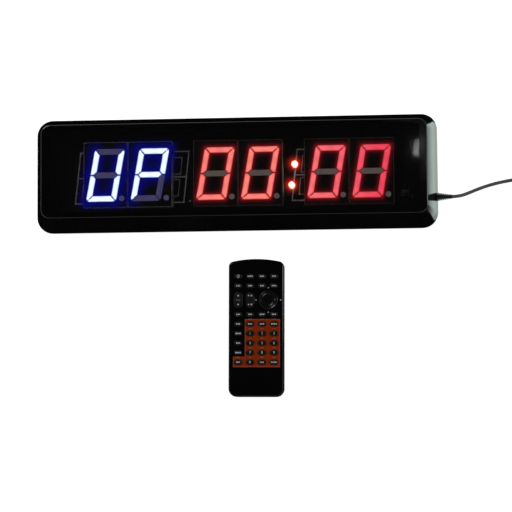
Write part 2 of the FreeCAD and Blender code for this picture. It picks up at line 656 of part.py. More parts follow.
def make_plug():
    """A USB-A plug at the lead's end: a boot, a moulded grip, and a hollow metal shell with its tongue."""
    x, y, z = TAIL_ROUTE[-1]
    down = Vector(0, -1, 0)
    boot = cone("plug_boot", "relief_tip_radius", "plug_relief_radius", "plug_relief_length",
                (x, y, z), down)
    grip_end = y - size("plug_relief_length")
    grip_body = plate("plug_grip", "plug_width", "plug_length", "plug_corner", "plug_height")
    grip_body.Placement = at(x, grip_end - size("plug_length") / 2, z - size("plug_height") / 2)
    front = grip_end - size("plug_length")
    length = size("shell_length")
    middle = (x, front - length / 2)
    shell = box("plug_shell", "shell_width", "shell_length", "shell_height", middle,
                z - size("shell_height") / 2)
    hollow_height = size("shell_height") - 2 * size("shell_wall")
    hollow_width = size("shell_width") - 2 * size("shell_wall")
    hollow = box("plug_hollow", hollow_width, "shell_length", hollow_height, middle,
                 z - hollow_height / 2)
    inset = size("tongue_inset")
    tongue = box("plug_tongue", hollow_width, length - inset, "tongue_height",
                 (x, middle[1] + inset / 2), z - hollow_height / 2)
    keep(fuse("usb_plug", boot, grip_body, cut("plug_sleeve", shell, hollow), tongue), "usb_plug")


# ---------------------------------------------------------------- remote control

REMOTE_PLACE = at(SIZES["remote_x"], SIZES["remote_y"], 0, Rotation(Z_AXIS, SIZES["remote_turn"]))


def in_remote(x, y):
    """A placement for something that is modelled round its own centre, inside the remote's frame."""
    return REMOTE_PLACE.multiply(at(x, y, 0))


def draw_remote(drawing, inset=0.0):
    """The remote's outline: straight sides, round lower corners, and an arched top with shoulders."""
    half_w = size("remote_width") / 2 - inset
    half_l = size("remote_length") / 2 - inset
    low_r = size("remote_corner") - inset
    high_r = size("shoulder") - inset
    full_half = size("remote_width") / 2
    rise = size("arch_rise")
    arch_r = (full_half ** 2 + rise ** 2) / (2 * rise) - inset
    arch_y = half_l - arch_r
    shoulder_y = arch_y + math.sqrt((arch_r - high_r) ** 2 - (half_w - high_r) ** 2)
    scale = arch_r / (arch_r - high_r)
    touch = Vector((half_w - high_r) * scale, arch_y + (shoulder_y - arch_y) * scale, 0)
    lean = math.atan2(shoulder_y - arch_y, half_w - high_r)

    def arc(x, y, radius, start, stop):
        circle = Part.Circle(Vector(x, y, 0), Z_AXIS, radius)
        drawing.addGeometry(Part.ArcOfCircle(circle, start, stop), False)

    def line(x1, y1, x2, y2):
        drawing.addGeometry(Part.LineSegment(Vector(x1, y1, 0), Vector(x2, y2, 0)), False)

    line(-half_w + low_r, -half_l, half_w - low_r, -half_l)
    arc(half_w - low_r, -half_l + low_r, low_r, -math.pi / 2, 0)
    line(half_w, -half_l + low_r, half_w, shoulder_y)
    arc(half_w - high_r, shoulder_y, high_r, 0, lean)
    start = math.atan2(touch.y - arch_y, touch.x)
    arc(0, arch_y, arch_r, start, math.pi - start)
    arc(-half_w + high_r, shoulder_y, high_r, math.pi - lean, math.pi)
    line(-half_w, shoulder_y, -half_w, -half_l + low_r)
    arc(-half_w + low_r, -half_l + low_r, low_r, math.pi, 3 * math.pi / 2)


def row_y(row):
    return size("first_row_y") - row * size("key_pitch_y")


def column_x(column):
    return (column - (COLUMNS - 1) / 2) * size("key_pitch_x")


def key_places():
    """The small keys: every row of four but the two beside the round pad."""
    return [(row, column) for row in range(ROWS) if row not in ROCKER_ROWS for column in range(COLUMNS)]


def tilt_y():
    return (row_y(ROCKER_ROWS[0]) + row_y(ROCKER_ROWS[1])) / 2


def make_top_shell():
    body = new_body("top_moulding")
    outline = sketch(body, "top_outline", "remote_split")
    draw_remote(outline)
    pad(body, outline, "top_depth")
    hollow = sketch(body, "top_hollow", "remote_split")
    draw_remote(hollow, size("remote_wall"))
    pocket(body, hollow, "hollow_depth", upward=True)
    round_edges(body, "remote_top_round", lambda edge: on_level(edge, size("remote_top")))
    holes = sketch(body, "top_holes", "remote_top")
    gap = 2 * size("key_gap")
    for row, column in key_places():
        draw_rounded(holes, size("key_width") + gap, size("key_height") + gap,
                     size("key_corner") + size("key_gap"), (column_x(column), row_y(row)), bound=False)
    gap = 2 * size("tilt_gap")
    for column in (0, 1):
        draw_rounded(holes, size("rocker_width") + gap, size("rocker_height") + gap,
                     size("rocker_corner") + size("tilt_gap"), (column_x(column), tilt_y()), bound=False)
    holes.addGeometry(Part.Circle(Vector(size("nav_x"), tilt_y(), 0), Z_AXIS,
                                  size("nav_radius") + size("tilt_gap")), False)
    pocket(body, holes)
    bore = cylinder("sender_bore", size("sender_radius") + size("sender_clear"), "sender_bore",
                    (0, (size("remote_length") - size("sender_bore")) / 2, size("sender_z")), Y_AXIS)
    keep(cut("remote_top_shell", body, bore), "remote_top_shell", REMOTE_PLACE)


def make_bottom_shell():
    """The lower shell and its battery door, both cut from one hollow moulding."""
    body = new_body("bottom_moulding")
    outline = sketch(body, "bottom_outline")
    draw_remote(outline)
    pad(body, outline, "remote_split")
    round_edges(body, "remote_bottom_round", lambda edge: on_level(edge, 0.0))
    well = sketch(body, "bottom_well", "remote_split")
    draw_remote(well, size("remote_wall"))
    pocket(body, well, "well_depth")
    length = size("remote_length") / 2 + size("door_top") + 2.0
    gap = size("door_gap")
    opening = box("door_opening", "door_width", length, size("door_side") + 1.0,
                  (0, size("door_top") - length / 2), -1.0)
    region = box("door_region", size("door_width") - 2 * gap, length, size("door_side") + 1.0 - gap,
                 (0, size("door_top") - gap - length / 2), -1.0)
    posts = [cylinder("remote_post_%d" % n, "remote_post_radius", "remote_post_height",
                      (sx * size("remote_post_x"), sy * size("remote_post_y"), size("remote_floor")))
             for n, (sx, sy) in enumerate(((-1, 1), (1, 1), (-1, -1), (1, -1)))]
    shell = cut("bottom_open", body, opening)
    keep(fuse("remote_bottom_shell", shell, *posts), "remote_bottom_shell", REMOTE_PLACE)
    keep(add("Part::Common", "battery_door", Base=body, Tool=region), "battery_door", REMOTE_PLACE)


def make_remote_inside():
    board = plate("remote_board", "remote_board_width", "remote_board_length", "lens_corner",
                  "remote_board_thick", "remote_board_level")
    keep(board, "remote_board", REMOTE_PLACE)
    mat = plate("key_mat", "mat_width", "mat_length", "lens_corner", "mat_thick", "mat_level")
    keep(mat, "key_mat", REMOTE_PLACE)
    cells = []
    for number, side in enumerate((-1, 1)):
        x = side * size("cell_x")
        low = size("cell_y") - size("cell_length") / 2
        can = cylinder("cell_can_%d" % number, "cell_radius", "cell_length", (x, low, size("cell_z")),
                       Y_AXIS)
        tip_y = low + size("cell_length") if side > 0 else low
        tip = cylinder("cell_tip_%d" % number, "cap_radius", "cap_length",
                       (x, tip_y, size("cell_z")), Vector(0, side, 0))
        cells.append(fuse("cell_%d" % number, can, tip))
    keep(add("Part::Compound", "remote_batteries", Links=cells), "remote_batteries", REMOTE_PLACE)
    plates = []
    for number, side in enumerate((-1, 1)):
        edge = size("cell_y") + side * (size("cell_length") / 2 + size("cap_length"))
        middle = edge + side * size("contact_thick") / 2
        plates.append(box("contact_plate_%d" % number, "contact_width", "contact_thick",
                          "contact_height", (0, middle), size("cell_z") - size("contact_height") / 2))
        spring_y = edge - side * size("cap_length")
        plates[-1] = fuse("contact_%d" % number, plates[-1],
                          cone("contact_spring_%d" % number, "spring_tip_radius", "spring_radius",
                               "cap_length", (-side * size("cell_x"), spring_y, size("cell_z")),
                               Vector(0, side, 0)))
    keep(add("Part::Compound", "battery_contacts", Links=plates), "battery_contacts", REMOTE_PLACE)
    start = size("remote_board_length") / 2 + size("sender_gap")
    stem = cylinder("sender_stem", "sender_radius", "sender_length", (0, start, size("sender_z")),
                    Y_AXIS)
    dome = add("Part::Sphere", "sender_dome", Radius="sender_radius")
    dome.Placement = at(0, start + size("sender_length"), size("sender_z"))
    keep(fuse("remote_ir_led", stem, dome), "remote_ir_led", REMOTE_PLACE)


def make_button(label, cap, flange, levels, place):
    """A rubber cap that stands in its hole, over a flange that holds it under the roof."""
    body = new_body(label)
    base = sketch(body, label + "_flange", levels[0])
    draw_rounded(base, *flange)
    pad(body, base, levels[2])
    top = sketch(body, label + "_cap", levels[0])
    draw_rounded(top, *cap)
    pad(body, top, levels[1])
    round_edges(body, "key_round", lambda edge: on_level(edge, size("key_top")))
    keep(body, label, place)


def make_keys():
    key_cap = ("key_width", "key_height", "key_corner")
    key_flange = ("key_flange_width", "key_flange_height", "key_flange_corner")
    for row, column in key_places():
        make_button("key_row%02d_col%d" % (row + 1, column + 1), key_cap, key_flange,
                    ("key_level", "key_depth", "flange_thick"), in_remote(column_x(column), row_y(row)))
    rocker_cap = ("rocker_width", "rocker_height", "rocker_corner")
    rocker_flange = ("rocker_flange_width", "rocker_flange_height", "rocker_flange_corner")
    for column, label in ((0, "left_rocker"), (1, "right_rocker")):
        make_button(label, rocker_cap, rocker_flange, ("tilt_level", "tilt_depth", "tilt_flange"),
                    in_remote(column_x(column), tilt_y()))


def make_nav_pad():
    """A round four-way pad with a shallow dish."""
    level = size("tilt_level")
    disc = cylinder("nav_disc", "nav_radius", "tilt_depth", (0, 0, level))
    flange = cylinder("nav_flange", "nav_flange_radius", "tilt_flange", (0, 0, level))
    ball = add("Part::Sphere", "nav_ball", Radius="nav_dish")
    ball.Placement = at(0, 0, size("key_top") + size("nav_dish") - size("nav_dish_depth"))
    whole = cut("nav_pad", fuse("nav_solid", disc, flange), ball)
    keep(whole, "nav_pad", in_remote(size("nav_x"), tilt_y()))


# ---------------------------------------------------------------- build, check and write

make_front_frame()
make_lens()
make_rear_cover()
make_cover_screws()
make_board()
make_board_screws()
make_digits()
make_colon()
make_receiver()
make_components()
make_relief()
make_lead()
make_plug()
make_top_shell()
make_bottom_shell()
make_remote_inside()
make_keys()
make_nav_pad()
doc.recompute()

for thing in doc.Objects:
    if "Invalid" in thing.State or "Error" in thing.State:
        raise RuntimeError("%s did not compute: %s" % (thing.Label, thing.State))
os.makedirs("parts", exist_ok=True)
for node in nodes:
    if node.Shape.isNull() or not node.Shape.isValid():
        raise RuntimeError("%s has no valid shape" % node.Label)
    node.Shape.exportStep("parts/%s.step" % node.Label)
    extent = node.Shape.BoundBox
    print("%-22s %2d solids %9.1f mm3  %6.1f x %6.1f x %5.1f"
          % (node.Label, len(node.Shape.Solids), node.Shape.Volume,
             extent.XLength, extent.YLength, extent.ZLength))
print("%d nodes" % len(nodes))
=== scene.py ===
"""Looks of a six-digit gym interval timer, its supply lead and its remote control.

Everything is in metres, in the frame's own axes: X along the display, Y up it, Z out of it. Sizes are
written in millimetres and multiplied by MM where they meet the model.
"""
import math
import random

import bmesh
import bpy
import numpy as np
from mathutils import Matrix, Vector


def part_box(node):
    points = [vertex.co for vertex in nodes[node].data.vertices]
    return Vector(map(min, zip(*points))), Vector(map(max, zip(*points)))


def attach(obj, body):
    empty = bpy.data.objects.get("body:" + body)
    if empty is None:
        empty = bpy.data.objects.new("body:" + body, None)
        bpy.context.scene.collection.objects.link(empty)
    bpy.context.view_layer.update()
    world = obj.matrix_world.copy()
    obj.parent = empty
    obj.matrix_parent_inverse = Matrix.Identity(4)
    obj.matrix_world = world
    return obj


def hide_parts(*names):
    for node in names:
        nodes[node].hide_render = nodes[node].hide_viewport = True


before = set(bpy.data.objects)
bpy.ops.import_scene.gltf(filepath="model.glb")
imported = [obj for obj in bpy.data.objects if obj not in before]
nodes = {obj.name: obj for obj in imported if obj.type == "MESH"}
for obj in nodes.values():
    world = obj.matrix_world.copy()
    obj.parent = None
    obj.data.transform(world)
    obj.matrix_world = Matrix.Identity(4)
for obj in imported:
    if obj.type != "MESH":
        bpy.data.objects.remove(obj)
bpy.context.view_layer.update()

MM = 0.001
scene = bpy.context.scene

CASE_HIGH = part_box("front_frame")[1]
LENS_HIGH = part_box("display_lens")[1]
BOARD_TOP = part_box("display_board")[1].z
MODULE_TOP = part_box("digit_housings")[1].z

# The remote control's own axes: its middle on the table and its small turn.
REMOTE_PLACE = (17.2, -135.0)
REMOTE_TURN = math.radians(-0.6)
REMOTE_FRAME = (Matrix.Translation(Vector((*REMOTE_PLACE, 0.0)) * MM)
                @ Matrix.Rotation(REMOTE_TURN, 4, "Z"))


# ---------------------------------------------------------------- camera

VIEW_TARGET = Vector((17.87, -73.58, 20.0)) * MM
VIEW_DISTANCE = 1.7188
VIEW_FROM_RIGHT, VIEW_FROM_BELOW, VIEW_ROLL = (math.radians(a) for a in (3.89, 5.06, -0.49))
VIEW_LENS = 140.625


def make_camera():
    """A long lens, looking down on the table from the timer's lower right."""
    back = Vector((math.sin(VIEW_FROM_RIGHT) * math.cos(VIEW_FROM_BELOW), -math.sin(VIEW_FROM_BELOW),
                   math.cos(VIEW_FROM_RIGHT) * math.cos(VIEW_FROM_BELOW)))
    side = (-back).cross(Vector((0, 1, 0))).normalized()
    above = side.cross(-back)
    right = side * math.cos(VIEW_ROLL) + above * math.sin(VIEW_ROLL)
    up = above * math.cos(VIEW_ROLL) - side * math.sin(VIEW_ROLL)
    lens = bpy.data.cameras.new("camera")
    lens.lens = VIEW_LENS
    camera = bpy.data.objects.new("camera", lens)
    turn = Matrix((right, up, back)).transposed().to_4x4()
    camera.matrix_world = Matrix.Translation(VIEW_TARGET + back * VIEW_DISTANCE) @ turn
    scene.collection.objects.link(camera)
    scene.camera = camera
    return camera


# ---------------------------------------------------------------- materials

class Finish:
    """A procedural material round one Principled shader."""

    def __init__(self, name, colour, rough, **sockets):
        self.material = bpy.data.materials.new(name)
        self.material.use_nodes = True
        self.tree = self.material.node_tree
        self.shader = next(n for n in self.tree.nodes if n.type == "BSDF_PRINCIPLED")
        self.place = self.tree.nodes.new("ShaderNodeTexCoord").outputs["Object"]
        self.put("Base Color", colour)
        self.put("Roughness", rough)
        for socket, value in sockets.items():
            self.put(socket.replace("_", " "), value)

    def feed(self, value, socket):
        """Sets a socket to a number or colour, or links it to a node's output."""
        if isinstance(value, bpy.types.NodeSocket):
            self.tree.links.new(value, socket)
        elif isinstance(value, tuple) and len(socket.default_value) == 4:
            socket.default_value = (*value, 1.0)
        else:
            socket.default_value = value

    def put(self, socket, value):
        self.feed(value, self.shader.inputs[socket])

    def add(self, kind, output=0, settings=(), **inputs):
        """A node of that kind, with its inputs fed by name, as its output."""
        node = self.tree.nodes.new(kind)
        for name, value in settings:
            setattr(node, name, value)
        for name, value in inputs.items():
            self.feed(value, node.inputs[name.replace("_", " ")])
        return node.outputs[output]

    def maths(self, operation, *values):
        node = self.tree.nodes.new("ShaderNodeMath")
        node.operation = operation
        for value, socket in zip(values, node.inputs):
            self.feed(value, socket)
        return node.outputs[0]

    def noise(self, per_metre, detail=2.0, stretch=(1.0, 1.0, 1.0)):
        spot = self.add("ShaderNodeMapping", Vector=self.place, Scale=stretch)
        return self.add("ShaderNodeTexNoise", Vector=spot, Scale=per_metre, Detail=detail)

    def between(self, factor, low, high, start=0.3, stop=0.7):
        """A number that goes from low to high while the factor goes from start to stop."""
        return self.add("ShaderNodeMapRange", Value=factor, From_Min=start, From_Max=stop,
                        To_Min=low, To_Max=high)

    def ramp(self, factor, *stops):
        """A colour for each value of the factor, from (value, colour) stops."""
        node = self.tree.nodes.new("ShaderNodeValToRGB")
        self.feed(factor, node.inputs[0])
        elements = node.color_ramp.elements
        while len(elements) < len(stops):
            elements.new(1.0)
        for element, (spot, colour) in zip(elements, stops):
            element.position = spot
            element.color = (*colour, 1.0)
        return node.outputs[0]

    def bump(self, height, depth, strength=1.0):
        """Raises the surface by up to depth millimetres."""
        self.put("Normal", self.add("ShaderNodeBump", Height=height, Distance=depth * MM,
                                    Strength=strength))

    def attribute(self, name):
        return self.add("ShaderNodeAttribute", output=2, settings=(("attribute_name", name),))

    def axis(self, index):
        return self.add("ShaderNodeSeparateXYZ", output=index, Vector=self.place)


def case_gloss():
    """Polished black moulding, with faint haze and dust in the polish."""
    finish = Finish("case_gloss", (0.0022, 0.0020, 0.0020), 0.1, Specular_IOR_Level=0.5)
    haze = finish.noise(38.0, detail=5.0)
    finish.put("Roughness", finish.between(haze, 0.07, 0.17))
    finish.bump(finish.noise(160.0), 0.012)
    return finish


def lens_smoked():
    """Smoked acrylic: it lets about a third of the light through, and holds a little dust."""
    finish = Finish("lens_smoked", (0.004, 0.004, 0.004), 0.03, Alpha=0.45, IOR=1.49)
    dust = finish.noise(900.0, detail=4.0)
    finish.put("Base Color", finish.ramp(dust, (0.45, (0.0035, 0.003, 0.0035)), (0.8, (0.02, 0.02, 0.02))))
    finish.put("Roughness", finish.between(finish.noise(24.0, detail=4.0), 0.022, 0.038))
    return finish


def moulded(name, colour, rough, grain=1500.0, depth=0.03, sparkle=0.15):
    """Moulded plastic with a spark-eroded grain."""
    finish = Finish(name, colour, rough)
    grains = finish.noise(grain, detail=3.0)
    lighter = tuple(min(1.0, c * (1 + sparkle) + 0.002) for c in colour)
    darker = tuple(c * (1 - sparkle) for c in colour)
    finish.put("Base Color", finish.ramp(grains, (0.35, darker), (0.65, lighter)))
    finish.put("Roughness", finish.between(finish.noise(60.0, detail=4.0), rough - 0.06, rough + 0.06))
    finish.bump(grains, depth)
    return finish


def printed(name, colour, strength):
    """Worn screen print, with a painted glow that stands in for stray light inside the case."""
    finish = moulded(name, colour, 0.6, depth=0.004)
    # Painted glow: the ink's emission stands in for stray light, uneven by noise.
    finish.put("Emission Color", colour)
    finish.put("Emission Strength", finish.between(finish.noise(220.0, detail=4.0), 0.3 * strength, strength))
    return finish


def metal(name, colour, rough, stretch=(1.0, 1.0, 12.0)):
    """Drawn or turned metal, with fine lines and slight tarnish."""
    finish = Finish(name, colour, rough, Metallic=1.0)
    lines = finish.noise(900.0, detail=3.0, stretch=stretch)
    finish.put("Roughness", finish.between(lines, rough - 0.08, rough + 0.1))
    tarnish = finish.noise(120.0, detail=4.0)
    finish.put("Base Color", finish.ramp(tarnish, (0.3, tuple(c * 0.75 for c in colour)), (0.6, colour)))
    finish.bump(lines, 0.01)
    return finish


def board_mask():
    """Dark solder mask over copper tracks."""
    finish = Finish("board", (0.004, 0.005, 0.004), 0.35)
    across = finish.add("ShaderNodeTexWave", Vector=finish.place, Scale=110.0, Distortion=3.0,
                        Detail=1.0, Detail_Scale=0.4)
    finish.put("Base Color", finish.ramp(across, (0.72, (0.0035, 0.004, 0.0045)),
                                         (0.8, (0.007, 0.008, 0.008))))
    finish.put("Roughness", finish.between(finish.noise(300.0), 0.3, 0.42))
    finish.bump(across, 0.03, strength=0.5)
    return finish


def light_bar(name, stops, strength, edge):
    """A lit diffuser: its colour along the display, paler over each lamp and deeper at its rim."""
    finish = Finish(name, (0.3, 0.3, 0.3), 0.45)
    along = finish.between(finish.axis(0), 0.0, 1.0, start=-30 * MM, stop=140 * MM)
    colour = finish.ramp(along, *stops)
    rim = finish.attribute("rim")
    body = finish.add("ShaderNodeMix", output=2, settings=(("data_type", "RGBA"),))
    mix = body.node
    finish.feed(finish.between(rim, 0.0, 1.0, start=0.0, stop=0.9), mix.inputs[0])
    finish.feed(edge, mix.inputs[6])
    finish.feed(colour, mix.inputs[7])
    finish.put("Emission Color", body)
    grain = finish.noise(700.0, detail=3.0)
    lamps = finish.between(finish.attribute("lamp"), 0.86, 1.12, start=0.0, stop=1.0)
    speckle = finish.maths("MULTIPLY", lamps, finish.between(grain, 0.97, 1.03))
    finish.put("Emission Strength", finish.maths("MULTIPLY", speckle, strength))
    finish.bump(grain, 0.02)
    return finish


def unlit_bar():
    """A milky diffuser that is off, with a painted glow that stands in for the little light it picks up from
    the lit bars of its own digit.
    """
    finish = moulded("unlit_diffuser", (0.42, 0.40, 0.39), 0.5, depth=0.01)
    painted_glow_tint = finish.between(finish.axis(0), 0.0, 1.0, start=-60 * MM, stop=-45 * MM)
    # Painted glow: bluish among the blue digits on the left, warm towards the red ones.
    finish.put("Emission Color", finish.ramp(painted_glow_tint, (0.0, (0.30, 0.26, 0.85)),
                                             (1.0, (0.56, 0.43, 0.38))))
    finish.put("Emission Strength", finish.between(finish.noise(260.0, detail=3.0), 0.3, 0.42))
    return finish


def glow_film(name, colour, strength):
    """A clear film with a painted glow beside the lit bars, standing in for light scattered from them."""
    finish = Finish(name, (0.0, 0.0, 0.0), 0.9, Emission_Color=colour, Emission_Strength=strength,
                    Specular_IOR_Level=0.0)
    finish.put("Alpha", finish.attribute("glow"))
    return finish


# ---------------------------------------------------------------- mesh helpers

def piece(name, mesh, body, finishes, replaced=(), crease=35.0):
    """Links a mesh, from a bmesh or as it is, as a piece that rides on a body."""
    if isinstance(mesh, bmesh.types.BMesh):
        bmesh.ops.recalc_face_normals(mesh, faces=mesh.faces)
        made = bpy.data.meshes.new(name)
        mesh.to_mesh(made)
        mesh.free()
        mesh = made
    mesh.polygons.foreach_set("use_smooth", [True] * len(mesh.polygons))
    mesh.set_sharp_from_angle(angle=math.radians(crease))
    for finish in finishes:
        mesh.materials.append(finish.material)
    thing = bpy.data.objects.new(name, mesh)
    scene.collection.objects.link(thing)
    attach(thing, body)
    if replaced:
        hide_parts(*replaced)
    return thing


def dress(finish, *names):
    """Gives CAD nodes a finish."""
    for name in names:
        mesh = nodes[name].data
        mesh.materials.clear()
        mesh.materials.append(finish.material)
        mesh.polygons.foreach_set("material_index", [0] * len(mesh.polygons))


def loft(bm, rings, place=None, material=0, layers=()):
    """A closed skin over rings of equal length, flat at both ends. Layers are (layer, number a ring)."""
    made = []
    for number, ring in enumerate(rings):
        row = [bm.verts.new(place @ Vector(p) if place else Vector(p)) for p in ring]
        for layer, values in layers:
            for vert in row:
                vert[layer] = values[number]
        made.append(row)
    faces = [bm.faces.new(made[0]), bm.faces.new(made[-1])]
    count = len(made[0])
    for low, high in zip(made, made[1:]):
        for step in range(count):
            after = (step + 1) % count
            faces.append(bm.faces.new((low[step], low[after], high[after], high[step])))
    for face in faces:
        face.material_index = material
    return faces


def rounded(width, height, radius, steps=4, centre=(0.0, 0.0)):
    """A rectangle's outline with round corners, counterclockwise."""
    points = []
    for turn, (sx, sy) in enumerate(((1, -1), (1, 1), (-1, 1), (-1, -1))):
        for step in range(steps + 1):
            angle = (turn - 1 + step / steps) * math.pi / 2
            points.append((centre[0] + sx * (width / 2 - radius) + radius * math.cos(angle),
                           centre[1] + sy * (height / 2 - radius) + radius * math.sin(angle)))
    return points


def circle(radius, steps, centre=(0.0, 0.0)):
    return [(centre[0] + radius * math.cos(2 * math.pi * s / steps),
             centre[1] + radius * math.sin(2 * math.pi * s / steps)) for s in range(steps)]


def at_level(outline, level):
    """An outline in millimetres as a ring in metres on a level."""
    return [(x * MM, y * MM, level * MM) for x, y in outline]


def prism(bm, outline, low, high, place=None, material=0):
    return loft(bm, [at_level(outline, low), at_level(outline, high)], place, material)


def inset(outline, distance):
    """An outline moved inwards by a distance, with mitred corners."""
    moved = []
    count = len(outline)
    for step in range(count):
        before, here, after = (Vector(outline[(step + k) % count]) for k in (-1, 0, 1))
        first, second = (here - before).normalized(), (after - here).normalized()
        normals = Vector((-first.y, first.x)), Vector((-second.y, second.x))
        moved.append(tuple(here + (normals[0] + normals[1]) * distance / (1 + normals[0].dot(normals[1]))))
    return moved


def resampled(outline, longest):
    """An outline with its long sides divided."""
    points = []
    for here, after in zip(outline, outline[1:] + outline[:1]):
        parts = max(1, math.ceil(math.dist(here, after) / longest))
        points += [tuple(Vector(here).lerp(Vector(after), k / parts)) for k in range(parts)]
    return points


def solids_of(name):
    """A node's separate solids, each as a list of its faces in a shared bmesh."""
    bm = bmesh.new()
    bm.from_mesh(nodes[name].data)
    bmesh.ops.remove_doubles(bm, verts=bm.verts, dist=1e-6)
    left, groups = set(bm.faces), []
    while left:
        stack, group = [left.pop()], []
        while stack:
            face = stack.pop()
            group.append(face)
            for edge in face.edges:
                for other in edge.link_faces:
                    if other in left:
                        left.remove(other)
                        stack.append(other)
        groups.append(group)
    return bm, groups


def boxes_of(name):
    """(lowest corner, highest corner) of each separate solid of a node, from left to right."""
    bm, groups = solids_of(name)
    boxes = []
    for group in groups:
        corners = np.array([v.co for face in group for v in face.verts])
        boxes.append((Vector(corners.min(0)), Vector(corners.max(0))))
    bm.free()
    return sorted(boxes, key=lambda box: tuple(box[0]))


def top_outlines(name):
    """The outline of each separate solid's top face, in millimetres, from left to right."""
    bm, groups = solids_of(name)
    outlines = []
    for group in groups:
        level = max(v.co.z for face in group for v in face.verts)
        tops = [f for f in group if all(level - v.co.z < 1e-5 for v in f.verts)]
        steps = {(loop.vert, loop.link_loop_next.vert) for f in tops for loop in f.loops}
        following = {a: b for a, b in steps if (b, a) not in steps}
        vert = next(iter(sorted(following, key=lambda v: tuple(v.co))))
        outline = []
        for _ in range(len(following)):
            outline.append((vert.co.x / MM, vert.co.y / MM))
            vert = following[vert]
        outlines.append(outline)
    bm.free()
    return sorted(outlines)


# ---------------------------------------------------------------- lead

CORD_RADIUS = 1.5
LEAD_ROUTE = ((187.0, -23.3, 5.4), (193.0, -23.0, 4.6), (200.0, -20.6, 2.2), (210.0, -16.4, 1.5),
              (222.5, -12.4, 1.5), (237.5, -9.4, 1.5), (252.0, -7.6, 1.5), (266.0, -7.0, 1.5))
TAIL_ROUTE = ((288.5, -29.5, 4.5), (288.3, -37.5, 4.3), (287.6, -45.5, 4.0))
COIL_CENTRE = (266.0, -29.5)
COIL_COLUMNS = 5
COIL_OUTER = 22.5
COIL_STEPS = 24
COIL_LAP = 0.22


def coil_points():
    """Five turns inwards on the table, and four and a quarter back out on top of them.

    Each turn is a circle that moves over by one cord in its last part, the lap.
    """
    turns = 2 * COIL_COLUMNS - 1 + 0.25
    points = []
    for step in range(1, round(turns * COIL_STEPS)):
        turn, part = divmod(step / COIL_STEPS, 1.0)
        lap = max(0.0, (part - 1 + COIL_LAP) / COIL_LAP)
        lap = lap * lap * (3 - 2 * lap)
        last = COIL_COLUMNS - 1
        if turn < last:
            column, layer, dip = turn + lap, 0.0, 0.0
        elif turn == last:
            column, layer, dip = last, lap, 1.2 * math.sin(math.pi * lap)
        else:
            column, layer, dip = 2 * last + 1 - turn - lap, 1.0, 0.0
        radius = (COIL_OUTER - 2 * CORD_RADIUS * column - dip) / math.cos(math.pi / COIL_STEPS)
        angle = math.pi / 2 - 2 * math.pi * step / COIL_STEPS
        points.append((COIL_CENTRE[0] + radius * math.cos(angle), COIL_CENTRE[1] + radius * math.sin(angle),
                       CORD_RADIUS + 2 * CORD_RADIUS * layer))
    return points


def jacket():
    """Grey vinyl jacket with a faint drawn grain."""
    finish = Finish("cord_jacket", (0.11, 0.11, 0.112), 0.42)
    drawn = finish.noise(420.0, detail=3.0)
    finish.put("Base Color", finish.ramp(drawn, (0.35, (0.09, 0.09, 0.092)), (0.65, (0.13, 0.13, 0.133))))
    finish.put("Roughness", finish.between(finish.noise(90.0), 0.36, 0.5))
    finish.bump(drawn, 0.02)
    return finish


def make_cord():
    line = bpy.data.curves.new("cord", "CURVE")
    line.dimensions = "3D"
    points = [*LEAD_ROUTE, *coil_points(), *TAIL_ROUTE]
    spline = line.splines.new("NURBS")
    spline.points.add(len(points) - 1)
    for point, place in zip(spline.points, points):
        point.co = (*(Vector(place) * MM), 1.0)
    spline.order_u = 3
    spline.use_endpoint_u = True
    spline.resolution_u = 6
    line.bevel_depth = CORD_RADIUS * MM
    line.bevel_resolution = 3
    line.use_fill_caps = True
    line.materials.append(jacket().material)
    cord = bpy.data.objects.new("supply_lead", line)
    scene.collection.objects.link(cord)
    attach(cord, "timer")
    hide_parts("power_cord", "cord_coil")
    return cord


def along_x(profile, y, z, steps=28):
    """Rings round a line along X, from (x, radius) pairs."""
    return [[(x * MM, (y + r * a) * MM, (z + r * b) * MM) for a, b in circle(1.0, steps)]
            for x, r in profile]


def make_relief(rubber):
    """The bush: a core and collar inside the case, and a boot of six ribs that taper to the lead."""
    low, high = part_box("strain_relief")
    y, z = (low.y + high.y) / 2 / MM, (low.z + high.z) / 2 / MM
    wall, tip = CASE_HIGH.x / MM, high.x / MM
    inner = LENS_HIGH.x / MM - 1.2
    profile = [(low.x / MM, 1.5), (inner - 2.0, 1.5), (inner - 2.0, 2.8), (inner, 2.8),
               (inner, 2.45), (wall, 2.45)]
    ribs = 6
    pitch = (tip - wall - 0.6) / ribs
    for rib in range(ribs):
        start = wall + 0.05 + rib * pitch
        for share, sunk in ((0.0, 0.25), (0.06, 0.0), (0.56, 0.0), (0.62, 0.25), (0.64, 0.95), (0.96, 0.95)):
            x = start + share * pitch
            radius = 3.7 + (1.9 - 3.7) * (x - wall) / (tip - wall)
            profile.append((x, max(radius - sunk, 1.52)))
    profile += [(tip - 0.5, 1.9), (tip, 1.8)]
    bm = bmesh.new()
    loft(bm, along_x(profile, y, z))
    return piece("ribbed_strain_relief", bm, "timer", [rubber],
                 replaced=("strain_relief",), crease=28.0)


PLUG_BOOT, PLUG_GRIP, PLUG_SHELL = 9.0, 24.0, 13.5
SHELL_WIDTH, SHELL_HEIGHT, SHELL_WALL = 12.0, 4.5, 0.35


def perforated(bm, columns, rows, low, high, holes, place, material):
    """A flat plate over a grid of columns and rows, with some cells left open."""
    cells = {(c, r) for c in range(len(columns) - 1) for r in range(len(rows) - 1)} - set(holes)
    grid = {}

    def corner(c, r, level):
        if (c, r, level) not in grid:
            grid[c, r, level] = bm.verts.new(place @ (Vector((columns[c], rows[r], level)) * MM))
        return grid[c, r, level]

    faces = []
    for c, r in sorted(cells):
        loop = ((c, r), (c + 1, r), (c + 1, r + 1), (c, r + 1))
        beside = ((c, r - 1), (c + 1, r), (c, r + 1), (c - 1, r))
        for level in (low, high):
            faces.append(bm.faces.new([corner(*p, level) for p in loop]))
        for step, other in enumerate(beside):
            if other not in cells:
                a, b = loop[step], loop[(step + 1) % 4]
                side = [corner(*a, low), corner(*b, low), corner(*b, high), corner(*a, high)]
                faces.append(bm.faces.new(side))
    for face in faces:
        face.material_index = material


